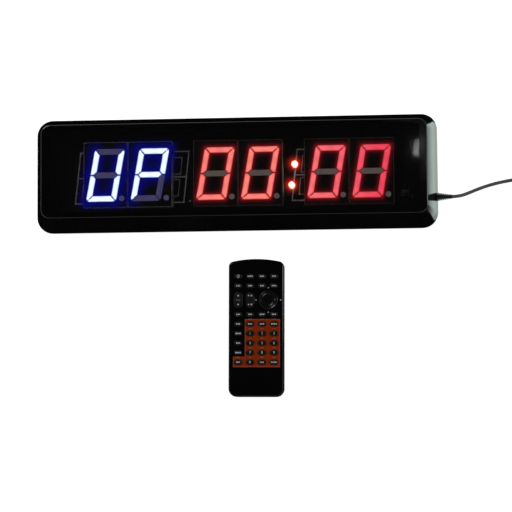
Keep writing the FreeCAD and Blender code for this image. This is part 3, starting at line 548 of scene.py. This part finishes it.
def make_plug(rubber, steel, gold):
    """A USB-A plug: ribbed boot, waisted grip, pierced shell, and a tongue with four contacts."""
    low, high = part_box("usb_plug")
    # Its own axes: X across, Y from the cord to the tip, Z up, from the boot's start.
    place = (Matrix.Translation(((low.x + high.x) / 2, high.y, (low.z + high.z) / 2))
             @ Matrix.Rotation(math.pi, 4, "Z"))
    bm = bmesh.new()

    def section(y, width, height, radius):
        return [(x * MM, y * MM, z * MM) for x, z in rounded(width, height, radius, steps=5)]

    boot = []
    for rib in range(4):
        start = rib * PLUG_BOOT / 4
        for share, sunk in ((0.0, 0.0), (0.6, 0.0), (0.65, 0.7), (0.97, 0.7)):
            y = start + share * PLUG_BOOT / 4
            wide = 3.8 + 2.0 * y / PLUG_BOOT - sunk
            boot.append(section(y, wide, wide, wide / 2 - 0.01))
    loft(bm, boot + [section(PLUG_BOOT, 5.8, 5.8, 2.89)], place)
    grip = [(0.0, 13.0, 6.4, 2.2), (0.7, 15.0, 7.5, 2.4), (1.8, 15.6, 7.8, 2.4), (8.0, 15.2, 7.4, 2.4),
            (14.0, 14.6, 6.9, 2.3), (20.0, 15.2, 7.4, 2.4), (22.6, 15.6, 7.8, 2.4), (23.5, 15.2, 7.5, 2.3),
            (24.0, 14.4, 7.0, 2.2)]
    loft(bm, [section(PLUG_BOOT + y, w, h, r) for y, w, h, r in grip], place)
    for ridge in range(5):
        y = PLUG_BOOT + 7.2 + 2.6 * ridge
        for side in (-1, 1):
            prism(bm, rounded(8.4, 1.1, 0.5, centre=(0.0, y)), side * 3.0, side * 3.85, place)
    start = PLUG_BOOT + PLUG_GRIP - 0.2
    rows = [start, start + 5.4, start + 7.8, start + PLUG_SHELL + 0.2]
    half_w, half_h = SHELL_WIDTH / 2, SHELL_HEIGHT / 2
    columns = [-half_w, -4.1, -1.6, 1.6, 4.1, half_w]
    for side in (-1, 1):
        inner, outer = sorted((side * (half_h - SHELL_WALL), side * half_h))
        perforated(bm, columns, rows, inner, outer, ((1, 1), (3, 1)), place, 1)
        wall = rounded(SHELL_WALL, rows[-1] - rows[0], 0.1,
                       centre=(side * (half_w - SHELL_WALL / 2), (rows[0] + rows[-1]) / 2))
        prism(bm, wall, -half_h + 0.02, half_h - 0.02, place, material=1)
    tongue_low = -half_h + SHELL_WALL
    tongue = rounded(SHELL_WIDTH - 2 * SHELL_WALL, PLUG_SHELL - 1.0, 0.3, centre=(0.0, start + 6.25))
    prism(bm, tongue, tongue_low, tongue_low + 1.8, place)
    for contact in (-3.5, -1.0, 1.0, 3.5):
        strip = rounded(1.0, 8.6, 0.2, centre=(contact, start + 7.6))
        prism(bm, strip, tongue_low + 1.75, tongue_low + 1.88, place, material=2)
    return piece("usb_a_plug", bm, "timer", [rubber, steel, gold], replaced=("usb_plug",))


# ---------------------------------------------------------------- display

def lamps_of(outline):
    """Where the two lamps lie under a bar: a quarter of its length each side of its middle."""
    points = np.array(outline)
    middle = (points.max(0) + points.min(0)) / 2
    centred = points - points.mean(0)
    direction = np.linalg.svd(centred, full_matrices=False)[2][0]
    length = np.ptp(centred @ direction)
    return [middle + direction * side * length / 4 for side in (-1, 1)]


def diffusers(name, replaced, finish):
    """Domed diffusers over a node's bars, with how far each point is from the rim and from a lamp."""
    bm = bmesh.new()
    rim = bm.verts.layers.float.new("rim")
    lamp = bm.verts.layers.float.new("lamp")
    top = MODULE_TOP / MM
    profile = ((0.0, -0.7), (0.0, 0.06), (0.12, 0.12), (0.45, 0.15), (0.9, 0.165), (1.5, 0.175), (2.0, 0.18))
    for outline in top_outlines(replaced):
        dense = resampled(outline, 1.5)
        rings = [at_level(inset(dense, depth), top + rise) for depth, rise in profile]
        before = len(bm.verts)
        loft(bm, rings, layers=((rim, [depth for depth, _ in profile]),))
        bm.verts.ensure_lookup_table()
        spots = lamps_of(outline)
        for number in range(before, len(bm.verts)):
            vert = bm.verts[number]
            away = min(math.dist((vert.co.x / MM, vert.co.y / MM), spot) for spot in spots)
            vert[lamp] = math.exp(-(away / 3.6) ** 2)
    return piece(name, bm, "timer", [finish], replaced=(replaced,), crease=50.0)


def distance_to(points, outline):
    """How far each point is from the outline, and 0 inside it."""
    starts = np.array(outline)
    runs = np.roll(starts, -1, axis=0) - starts
    away = points[:, None] - starts[None]
    share = np.clip((away * runs).sum(2) / (runs ** 2).sum(1), 0, 1)
    gap = np.linalg.norm(away - share[..., None] * runs, axis=2).min(1)
    side = runs[None, :, 0] * away[..., 1] - runs[None, :, 1] * away[..., 0]
    gap[(side >= 0).all(1)] = 0.0
    return gap


def make_film(name, outlines, low, high, falloff, finish, step=1.1, fade=5.0):
    """A thin film over some digits with a painted glow: each lit bar adds a glow that falls off with the
    distance from it.
    """
    columns = np.linspace(low[0], high[0], round((high[0] - low[0]) / step) + 1)
    rows = np.linspace(low[1], high[1], round((high[1] - low[1]) / step) + 1)
    grid = np.array([(x, y) for x in columns for y in rows])
    reach = sum(falloff(distance_to(grid, outline)) for outline in outlines)
    margin = np.minimum((grid - low).min(1), (np.array(high) - grid).min(1))
    strength = np.minimum(reach, 1.0) * np.clip(margin / fade, 0, 1)
    bm = bmesh.new()
    glow = bm.verts.layers.float.new("glow")
    base, top = MODULE_TOP + 0.035 * MM, MODULE_TOP + 0.055 * MM
    verts = []
    for (x, y), value in zip(grid, strength):
        vert = bm.verts.new((x * MM, y * MM, top))
        vert[glow] = value
        verts.append(vert)
    tall = len(rows)
    for c in range(len(columns) - 1):
        for r in range(tall - 1):
            first = c * tall + r
            bm.faces.new((verts[first], verts[first + tall], verts[first + tall + 1], verts[first + 1]))
    edge = ([c * tall for c in range(len(columns))]
            + [(len(columns) - 1) * tall + r for r in range(1, tall)]
            + [c * tall + tall - 1 for c in range(len(columns) - 2, -1, -1)]
            + list(range(tall - 2, 0, -1)))
    under = [bm.verts.new((verts[k].co.x, verts[k].co.y, base)) for k in edge]
    bm.faces.new(under[::-1])
    for step_number, k in enumerate(edge):
        after = (step_number + 1) % len(edge)
        bm.faces.new((verts[k], under[step_number], under[after], verts[edge[after]]))
    return piece(name, bm, "timer", [finish])


def make_modules():
    """The display modules: chamfered blocks with a black mask on the face, in two shades of plastic."""
    pale = moulded("module_pale", (0.85, 0.82, 0.88), 0.5, depth=0.01)
    dark = moulded("module_dark", (0.34, 0.28, 0.25), 0.5, depth=0.01)
    mask = moulded("module_mask", (0.006, 0.005, 0.005), 0.55, grain=2200.0, depth=0.008)
    boxes = boxes_of("digit_housings")
    for name, group, side in (("blue_digit_modules", boxes[:2], pale),
                              ("red_digit_modules", boxes[2:], dark)):
        bm = bmesh.new()
        for low, high in group:
            middle = (low + high) / 2 / MM
            width, height = (high.x - low.x) / MM, (high.y - low.y) / MM
            spot = (middle.x, middle.y)
            rings = [at_level(rounded(width - trim, height - trim, 0.4, steps=2, centre=spot), level)
                     for trim, level in ((0.5, low.z / MM), (0.0, low.z / MM + 0.3),
                                         (0.0, high.z / MM - 0.3), (0.5, high.z / MM))]
            loft(bm, rings, material=0)
            prism(bm, rounded(width - 1.6, height - 1.6, 0.4, steps=2, centre=spot),
                  high.z / MM - 0.1, high.z / MM + 0.02, material=1)
        piece(name, bm, "timer", [side, mask])


def stroke(bm, start, end, width, low, high):
    """A straight printed line."""
    start, end = Vector(start), Vector(end)
    direction = (end - start).normalized()
    side = Vector((-direction.y, direction.x)) * width / 2
    start, end = start - direction * width / 2, end + direction * width / 2
    prism(bm, [tuple(p) for p in (start - side, end - side, end + side, start + side)], low, high)


GHOSTS = (-123.9, -55.6, 64.8)
GHOST_HALF = (13.2, 22.2)
GHOST_STROKE = 5.4
GHOST_LEAN = math.tan(math.radians(6.0))
GHOST_LIFT = -3.2
HALF_BAR = 2.4
THICK_LINE, THIN_LINE = 1.1, 0.6


def make_silkscreen(ink):
    """Printed digit outlines on the board, left from its other sizes of digit."""
    bm = bmesh.new()
    low = BOARD_TOP / MM
    half_w, half_h = GHOST_HALF

    def leaning(centre, x, y):
        return (centre + x + y * GHOST_LEAN, y + GHOST_LIFT)

    for centre in GHOSTS:
        inner, top = half_w - GHOST_STROKE, half_h - GHOST_STROKE
        loops = [((-half_w, -half_h), (half_w, -half_h), (half_w, half_h), (-half_w, half_h)),
                 ((-inner, HALF_BAR), (inner, HALF_BAR), (inner, top), (-inner, top)),
                 ((-inner, -HALF_BAR), (inner, -HALF_BAR), (inner, -top), (-inner, -top))]
        for number, loop in enumerate(loops):
            width = THIN_LINE if number else THICK_LINE
            for a, b in zip(loop, loop[1:] + loop[:1]):
                stroke(bm, leaning(centre, *a), leaning(centre, *b), width, low, low + 0.04)
        stroke(bm, leaning(centre, -half_w, 0), leaning(centre, half_w, 0), THICK_LINE, low, low + 0.04)
        prism(bm, circle(0.9, 16, centre=leaning(centre, half_w + 5.2, -half_h + 1.0)), low, low + 0.04)
    return piece("board_silkscreen", bm, "timer", [ink])


def make_lamp_halo():
    """Rings of painted glow round the two colon lamps, standing in for scattered light."""
    finish = glow_film("lamp_painted_halo", (1.0, 0.025, 0.01), 3.6)
    bm = bmesh.new()
    glow = bm.verts.layers.float.new("glow")
    radii = (2.45, 3.0, 3.6, 4.3, 5.2, 6.3, 7.6, 9.0)
    for low, high in boxes_of("colon_leds"):
        middle = (low + high) / 2 / MM
        level = high.z / MM - 2.6
        values = [math.exp(-(r - 2.45) / 1.35) for r in radii[:-1]] + [0.0]
        rings = [at_level(circle(radius, 40, centre=(middle.x, middle.y)), level) for radius in radii]
        rows = []
        for ring, value in zip(rings, values):
            row = [bm.verts.new(p) for p in ring]
            for vert in row:
                vert[glow] = value
            rows.append(row)
        for row in (rings[-1], rings[0]):
            rows.append([bm.verts.new((x, y, z - 0.02 * MM)) for x, y, z in row])
        for near, far in zip(rows, rows[1:] + rows[:1]):
            for step in range(40):
                after = (step + 1) % 40
                bm.faces.new((near[step], far[step], far[after], near[after]))
    return piece("colon_lamp_halo", bm, "timer", [finish])


# ---------------------------------------------------------------- remote control

def to_remote(finish):
    """The place node of a finish in the remote control's own axes."""
    back = REMOTE_FRAME.inverted()
    return finish.add("ShaderNodeMapping", Vector=finish.place, Location=tuple(back.translation),
                      Rotation=(0.0, 0.0, -REMOTE_TURN))


PANEL_BOXES = (((5.4, -13.3), (15.2, 20.7)), ((0.35, -29.4), (20.25, 4.55)))
PANEL_LINE = 0.75
NAV_MIDDLE = (10.5, 23.7)


def remote_gloss():
    """Glossy black, with an orange panel printed behind the number keys."""
    finish = Finish("remote_gloss", (0.0022, 0.0022, 0.0022), 0.12)
    spot = to_remote(finish)
    x = finish.add("ShaderNodeSeparateXYZ", output=0, Vector=spot)
    y = finish.add("ShaderNodeSeparateXYZ", output=1, Vector=spot)
    outside = None
    for centre, half in PANEL_BOXES:
        offsets = [finish.maths("SUBTRACT", place, c * MM) for place, c in zip((x, y), centre)]
        gaps = [finish.maths("SUBTRACT", finish.maths("ABSOLUTE", offset), h * MM)
                for offset, h in zip(offsets, half)]
        gap = finish.maths("MAXIMUM", *gaps)
        outside = gap if outside is None else finish.maths("MINIMUM", outside, gap)
    depth = finish.maths("DIVIDE", outside, -4.0 * PANEL_LINE * MM)
    black, line, orange = (0.0022, 0.0022, 0.0022), (0.42, 0.075, 0.05), (0.36, 0.042, 0.006)
    finish.put("Base Color", finish.ramp(depth, (0.0, black), (0.02, line), (0.24, line), (0.27, orange),
                                         (1.0, orange)))
    finish.put("Roughness", finish.between(finish.noise(45.0, detail=5.0), 0.08, 0.2))
    finish.bump(finish.noise(220.0), 0.01)
    return finish


def mark_place(node):
    """Axes on the middle of a key's top, turned with the remote control."""
    low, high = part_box(node)
    return (Matrix.Translation(((low.x + high.x) / 2, (low.y + high.y) / 2, high.z))
            @ Matrix.Rotation(REMOTE_TURN, 4, "Z"))


def dashes(bm, widths, height, place, level=0.0, gap=0.35, centre=(0.0, 0.0)):
    """A row of short printed dashes instead of a word."""
    total = sum(widths) + gap * (len(widths) - 1)
    x = centre[0] - total / 2
    for width in widths:
        spot = (x + width / 2, centre[1])
        prism(bm, rounded(width, height, min(width, height) * 0.3, steps=2, centre=spot),
              level - 0.02, level + 0.03, place)
        x += width + gap


def numeral(text, place):
    """A printed numeral as a mesh."""
    letters = bpy.data.curves.new("numeral", "FONT")
    letters.body = text
    letters.size = 3.1 * MM
    letters.extrude = 0.025 * MM
    letters.align_x, letters.align_y = "CENTER", "CENTER"
    holder = bpy.data.objects.new("numeral", letters)
    mesh = bpy.data.meshes.new_from_object(holder)
    mesh.transform(place)
    bpy.data.objects.remove(holder)
    return mesh


def power_mark(bm, place):
    """A ring open at the top, with an upright stroke in the opening."""
    steps = 22
    start = math.radians(125)
    span = math.radians(290)
    outline = []
    for radius, order in ((1.25, range(steps)), (0.85, range(steps - 1, -1, -1))):
        for step in order:
            angle = start + span * step / (steps - 1)
            outline.append((radius * math.cos(angle), radius * math.sin(angle)))
    prism(bm, outline, -0.02, 0.03, place)
    prism(bm, rounded(0.4, 1.3, 0.15, steps=2, centre=(0.0, 0.95)), -0.02, 0.03, place)


def triangle(bm, place, centre, size, up=True):
    turn = 1 if up else -1
    corners = [(centre[0] + size * x, centre[1] + turn * size * y)
               for x, y in ((-0.8, -0.55), (0.8, -0.55), (0, 0.8))]
    prism(bm, corners if up else corners[::-1], -0.02, 0.03, place)


def make_legends(ink):
    """Each key's mark rides on its own key."""
    words = random.Random(7)
    for row in (1, 2, 5, 6, 7, 8, 9, 10):
        for column in range(1, 5):
            node = "key_row%02d_col%d" % (row, column)
            place = mark_place(node)
            number = 3 * (row - 7) + column - 1
            if column > 1 and 7 <= row <= 9 or (row, column) == (10, 2):
                mark = numeral(str(0 if row == 10 else number), place)
            else:
                mark = bmesh.new()
                if (row, column) == (1, 1):
                    power_mark(mark, place)
                else:
                    widths = [words.choice((0.7, 0.9, 1.1)) for _ in range(words.choice((3, 4)))]
                    dashes(mark, widths, 1.2, place, gap=0.3)
            piece("mark_row%02d_col%d" % (row, column), mark, node, [ink])
    for node, plain in (("left_rocker", True), ("right_rocker", False)):
        place = mark_place(node)
        mark = bmesh.new()
        shift = 0.0 if plain else 1.1
        triangle(mark, place, (shift, 3.9), 1.15)
        triangle(mark, place, (shift, -3.9), 1.15, up=False)
        if plain:
            dashes(mark, (0.7, 0.6, 0.7), 0.5, place, gap=0.6)
        else:
            for side in (-1, 1):
                dashes(mark, (0.9,), 1.2, place, centre=(-1.3, side * 3.9))
        piece("marks_" + node, mark, node, [ink])


def make_panel_marks(panel_ink, ink):
    """Dashes printed on the shell: over the number keys, and four round the pad."""
    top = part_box("remote_top_shell")[1].z
    place = REMOTE_FRAME @ Matrix.Translation((0, 0, top))
    words = random.Random(11)
    bm = bmesh.new()
    for row in range(5, 10):
        for column in range(4):
            if column or row == 9:
                x, y = (column - 1.5) * 10.27, 44.2 - 8.21 * row + 4.1
                dashes(bm, [words.choice((0.5, 0.7)) for _ in range(3)], 0.55, place, gap=0.3, centre=(x, y))
    printed_first = len(bm.faces)
    for dx, dy in ((-10.6, 0), (10.6, 0), (0, 10.6), (0, -10.6)):
        dashes(bm, (0.9,), 0.9, place, centre=(NAV_MIDDLE[0] + dx, NAV_MIDDLE[1] + dy))
    bm.faces.ensure_lookup_table()
    for face in bm.faces[printed_first:]:
        face.material_index = 1
    return piece("panel_marks", bm, "remote", [panel_ink, ink])


def make_nav_pad(finish):
    """The round pad: a rolled rim, a raised ring inside it and a dished middle."""
    low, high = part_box("nav_pad")
    middle = (low + high) / 2
    place = Matrix.Translation((middle.x, middle.y, 0.0))
    base, top = low.z / MM, high.z / MM
    edge = (high.x - low.x) / 2 / MM
    profile = [(edge, base), (edge, base + 0.25), (8.2, base + 0.25), (8.2, top - 0.9), (8.1, top - 0.45),
               (7.85, top - 0.15), (7.5, top - 0.02), (7.1, top - 0.06), (6.7, top - 0.3), (6.3, top - 0.45),
               (5.9, top - 0.35), (5.6, top - 0.12), (5.3, top - 0.02), (5.0, top - 0.06), (4.6, top - 0.22),
               (4.0, top - 0.38), (3.0, top - 0.52), (1.8, top - 0.62), (0.6, top - 0.66)]
    bm = bmesh.new()
    loft(bm, [at_level(circle(radius, 64), level) for radius, level in profile], place)
    return piece("ridged_nav_pad", bm, "nav_pad", [finish], replaced=("nav_pad",), crease=40.0)


# ---------------------------------------------------------------- studio

FLOOR_HALF = 14.0
FLOOR_LEVEL = -0.2 * MM


def make_floor():
    """A pale table that reaches past every view."""
    bm = bmesh.new()
    corners = ((-1, -1), (1, -1), (1, 1), (-1, 1))
    bm.faces.new([bm.verts.new((x * FLOOR_HALF, y * FLOOR_HALF, FLOOR_LEVEL)) for x, y in corners])
    mesh = bpy.data.meshes.new("floor")
    bm.to_mesh(mesh)
    bm.free()
    paper = Finish("floor_paper", (0.9, 0.9, 0.9), 0.9, Emission_Color=(1.0, 1.0, 1.0), Emission_Strength=0.9)
    mesh.materials.append(paper.material)
    floor = bpy.data.objects.new("floor", mesh)
    scene.collection.objects.link(floor)


def reflector(name, low, high, stops=(), level=0.1):
    """A card flat on the table, seen only in reflections, that sets what the gloss reflects there: black, or
    with (share, colour) stops along X.
    """
    bm = bmesh.new()
    corners = [(low[0], low[1]), (high[0], low[1]), (high[0], high[1]), (low[0], high[1])]
    bm.faces.new([bm.verts.new((x * MM, y * MM, level * MM)) for x, y in corners])
    mesh = bpy.data.meshes.new(name)
    bm.to_mesh(mesh)
    bm.free()
    card = Finish(name, (0.0, 0.0, 0.0), 1.0, Specular_IOR_Level=0.0)
    if stops:
        across = card.between(card.axis(0), 0.0, 1.0, start=low[0] * MM, stop=high[0] * MM)
        card.put("Emission Color", card.ramp(across, *stops))
        card.put("Emission Strength", 1.0)
    mesh.materials.append(card.material)
    made = bpy.data.objects.new(name, mesh)
    scene.collection.objects.link(made)
    made.visible_camera = made.visible_shadow = made.visible_diffuse = made.visible_transmission = False


def area_light(name, place, target, size, radiance, colour=(1.0, 1.0, 1.0)):
    """A rectangular lamp of a given brightness that faces a point."""
    lamp = bpy.data.lights.new(name, "AREA")
    lamp.shape = "RECTANGLE"
    lamp.size, lamp.size_y = size
    lamp.energy = radiance * math.pi * size[0] * size[1]
    lamp.color = colour
    thing = bpy.data.objects.new(name, lamp)
    thing.location = place
    thing.rotation_mode = "QUATERNION"
    thing.rotation_quaternion = (Vector(place) - Vector(target)).to_track_quat("Z", "Y")
    scene.collection.objects.link(thing)
    return thing


def make_world():
    """A dark ceiling over a pale horizon, so that flat gloss stays black."""
    world = bpy.data.worlds.new("studio")
    scene.world = world
    world.use_nodes = True
    tree = world.node_tree
    background = next(n for n in tree.nodes if n.type == "BACKGROUND")
    place = tree.nodes.new("ShaderNodeTexCoord")
    split = tree.nodes.new("ShaderNodeSeparateXYZ")
    ramp = tree.nodes.new("ShaderNodeValToRGB")
    tree.links.new(place.outputs["Generated"], split.inputs[0])
    tree.links.new(split.outputs[2], ramp.inputs[0])
    tree.links.new(ramp.outputs[0], background.inputs[0])
    stops = ((0.0, 1.0), (0.25, 0.9), (0.6, 0.06), (1.0, 0.012))
    elements = ramp.color_ramp.elements
    while len(elements) < len(stops):
        elements.new(1.0)
    for element, (spot, grey) in zip(elements, stops):
        element.position = spot
        element.color = (grey, grey, grey, 1.0)


def make_lights(camera):
    centre = Vector((0.0, -0.05, 0.0))
    area_light("key_light", (-0.9, 1.1, 1.5), centre, (0.7, 0.7), 6.0)
    area_light("side_light", (1.5, 0.1, 0.75), centre, (0.25, 0.9), 6.0)
    # A small lamp whose reflection falls on the lens' right end.
    spot = Vector((156.7, 14.4, LENS_HIGH.z / MM)) * MM
    eye = camera.matrix_world.translation
    mirrored = Vector((eye.x, eye.y, 2 * LENS_HIGH.z - eye.z))
    area_light("lens_light", spot + (spot - mirrored), spot, (0.0085, 0.026), 11.0)


# ---------------------------------------------------------------- put together

scene.view_settings.view_transform = "Standard"
camera = make_camera()
make_world()
make_floor()
make_lights(camera)
# Painted dark reflection: a black card, seen only in reflections, keeps the side walls of the case and the
# remote black instead of reflecting the pale table.
reflector("black_card", (-260.0, -6000.0), (260.0, 120.0))
# Painted reflection: an emissive card, seen only in reflections, gives the right side wall its grey-green
# gradient.
painted_reflection_levels = ((0.0, 1.25), (0.2, 1.15), (0.35, 1.5), (0.5, 1.15), (0.65, 0.7), (0.8, 0.3),
               (0.9, 0.1), (1.0, 0.03))
painted_reflection_stops = [(share, tuple(level * tint for tint in (0.84, 1.0, 0.91))) for share, level in painted_reflection_levels]
reflector("side_card", (CASE_HIGH.x / MM, -46.0), (CASE_HIGH.x / MM + 15.0, 46.0), painted_reflection_stops, level=0.2)

rubber = moulded("black_rubber", (0.012, 0.012, 0.012), 0.5, grain=1200.0)
steel = metal("zinc_steel", (0.62, 0.62, 0.60), 0.3)
gold = metal("contact_gold", (0.75, 0.52, 0.22), 0.28)
dark_steel = metal("black_steel", (0.05, 0.05, 0.055), 0.4)

cord = make_cord()
relief = make_relief(rubber)
plug = make_plug(rubber, steel, gold)

gloss = case_gloss()
dress(gloss, "front_frame")
dress(lens_smoked(), "display_lens")
dress(moulded("cover_plastic", (0.014, 0.014, 0.014), 0.55, grain=1100.0, depth=0.05), "rear_cover")
dress(steel, "cover_screws", "battery_contacts")
dress(dark_steel, "board_screws")
dress(board_mask(), "display_board")
dress(moulded("component_epoxy", (0.07, 0.07, 0.07), 0.45), "board_components")
dress(moulded("receiver_epoxy", (0.3, 0.22, 0.1), 0.25, depth=0.002), "ir_receiver")

blue = light_bar("blue_light", ((0.0, (0.86, 0.97, 1.0)), (1.0, (0.86, 0.97, 1.0))), 3.6, (0.2, 0.35, 1.0))
red_stops = ((0.0, (1.0, 0.21, 0.18)), (0.31, (1.0, 0.235, 0.18)), (0.65, (0.95, 0.14, 0.165)),
             (0.9, (0.86, 0.055, 0.105)))
red = light_bar("red_light", red_stops, 3.1, (0.55, 0.03, 0.04))
unlit = unlit_bar()
diffusers("lit_blue_bars", "lit_blue_segments", blue)
diffusers("lit_red_bars", "lit_red_segments", red)
diffusers("unlit_bars", "unlit_segments", unlit)
make_modules()
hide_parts("digit_housings")

blue_outlines, red_outlines = top_outlines("lit_blue_segments"), top_outlines("lit_red_segments")
# Painted glow round the lit bars: emissive films over the blue and the red digits.
make_film("blue_glow_film", blue_outlines, (-142.0, -34.6), (-44.0, 30.5),
          lambda away: np.exp(-(np.maximum(away - 1.0, 0.0) / 3.5) ** 1.4),
          glow_film("blue_painted_halo", (0.012, 0.012, 1.0), 0.38))
make_film("red_glow_film", red_outlines, (-43.0, -34.6), (146.0, 30.5),
          lambda away: np.exp(-away / 1.1),
          glow_film("red_painted_halo", (1.0, 0.03, 0.05), 0.6), step=0.8)
make_silkscreen(printed("board_ink_painted_glow", (0.34, 0.32, 0.34), 0.5))

lamp = Finish("red_lamp", (0.5, 0.05, 0.03), 0.2, Emission_Color=(1.0, 0.74, 0.5), Emission_Strength=8.0)
lamp.bump(lamp.noise(500.0), 0.005)
dress(lamp, "colon_leds")
make_lamp_halo()

dress(remote_gloss(), "remote_top_shell")
matte = moulded("remote_matte", (0.006, 0.006, 0.006), 0.4, grain=900.0)
dress(matte, "remote_bottom_shell", "battery_door")
dress(board_mask(), "remote_board")
key_rubber = moulded("key_rubber", (0.003, 0.003, 0.003), 0.38, grain=1500.0, depth=0.006)
dress(key_rubber, "key_mat", "left_rocker", "right_rocker", *(n for n in nodes if n.startswith("key_row")))
dress(moulded("cell_jacket", (0.05, 0.14, 0.3), 0.35), "remote_batteries")
dress(moulded("sender_epoxy", (0.02, 0.01, 0.03), 0.12, depth=0.001), "remote_ir_led")
ink = moulded("pale_ink", (0.75, 0.75, 0.75), 0.5, depth=0.004)
make_legends(ink)
make_panel_marks(moulded("panel_ink", (0.42, 0.25, 0.2), 0.5, depth=0.004), ink)
make_nav_pad(moulded("pad_gloss", (0.003, 0.003, 0.003), 0.2, depth=0.004))
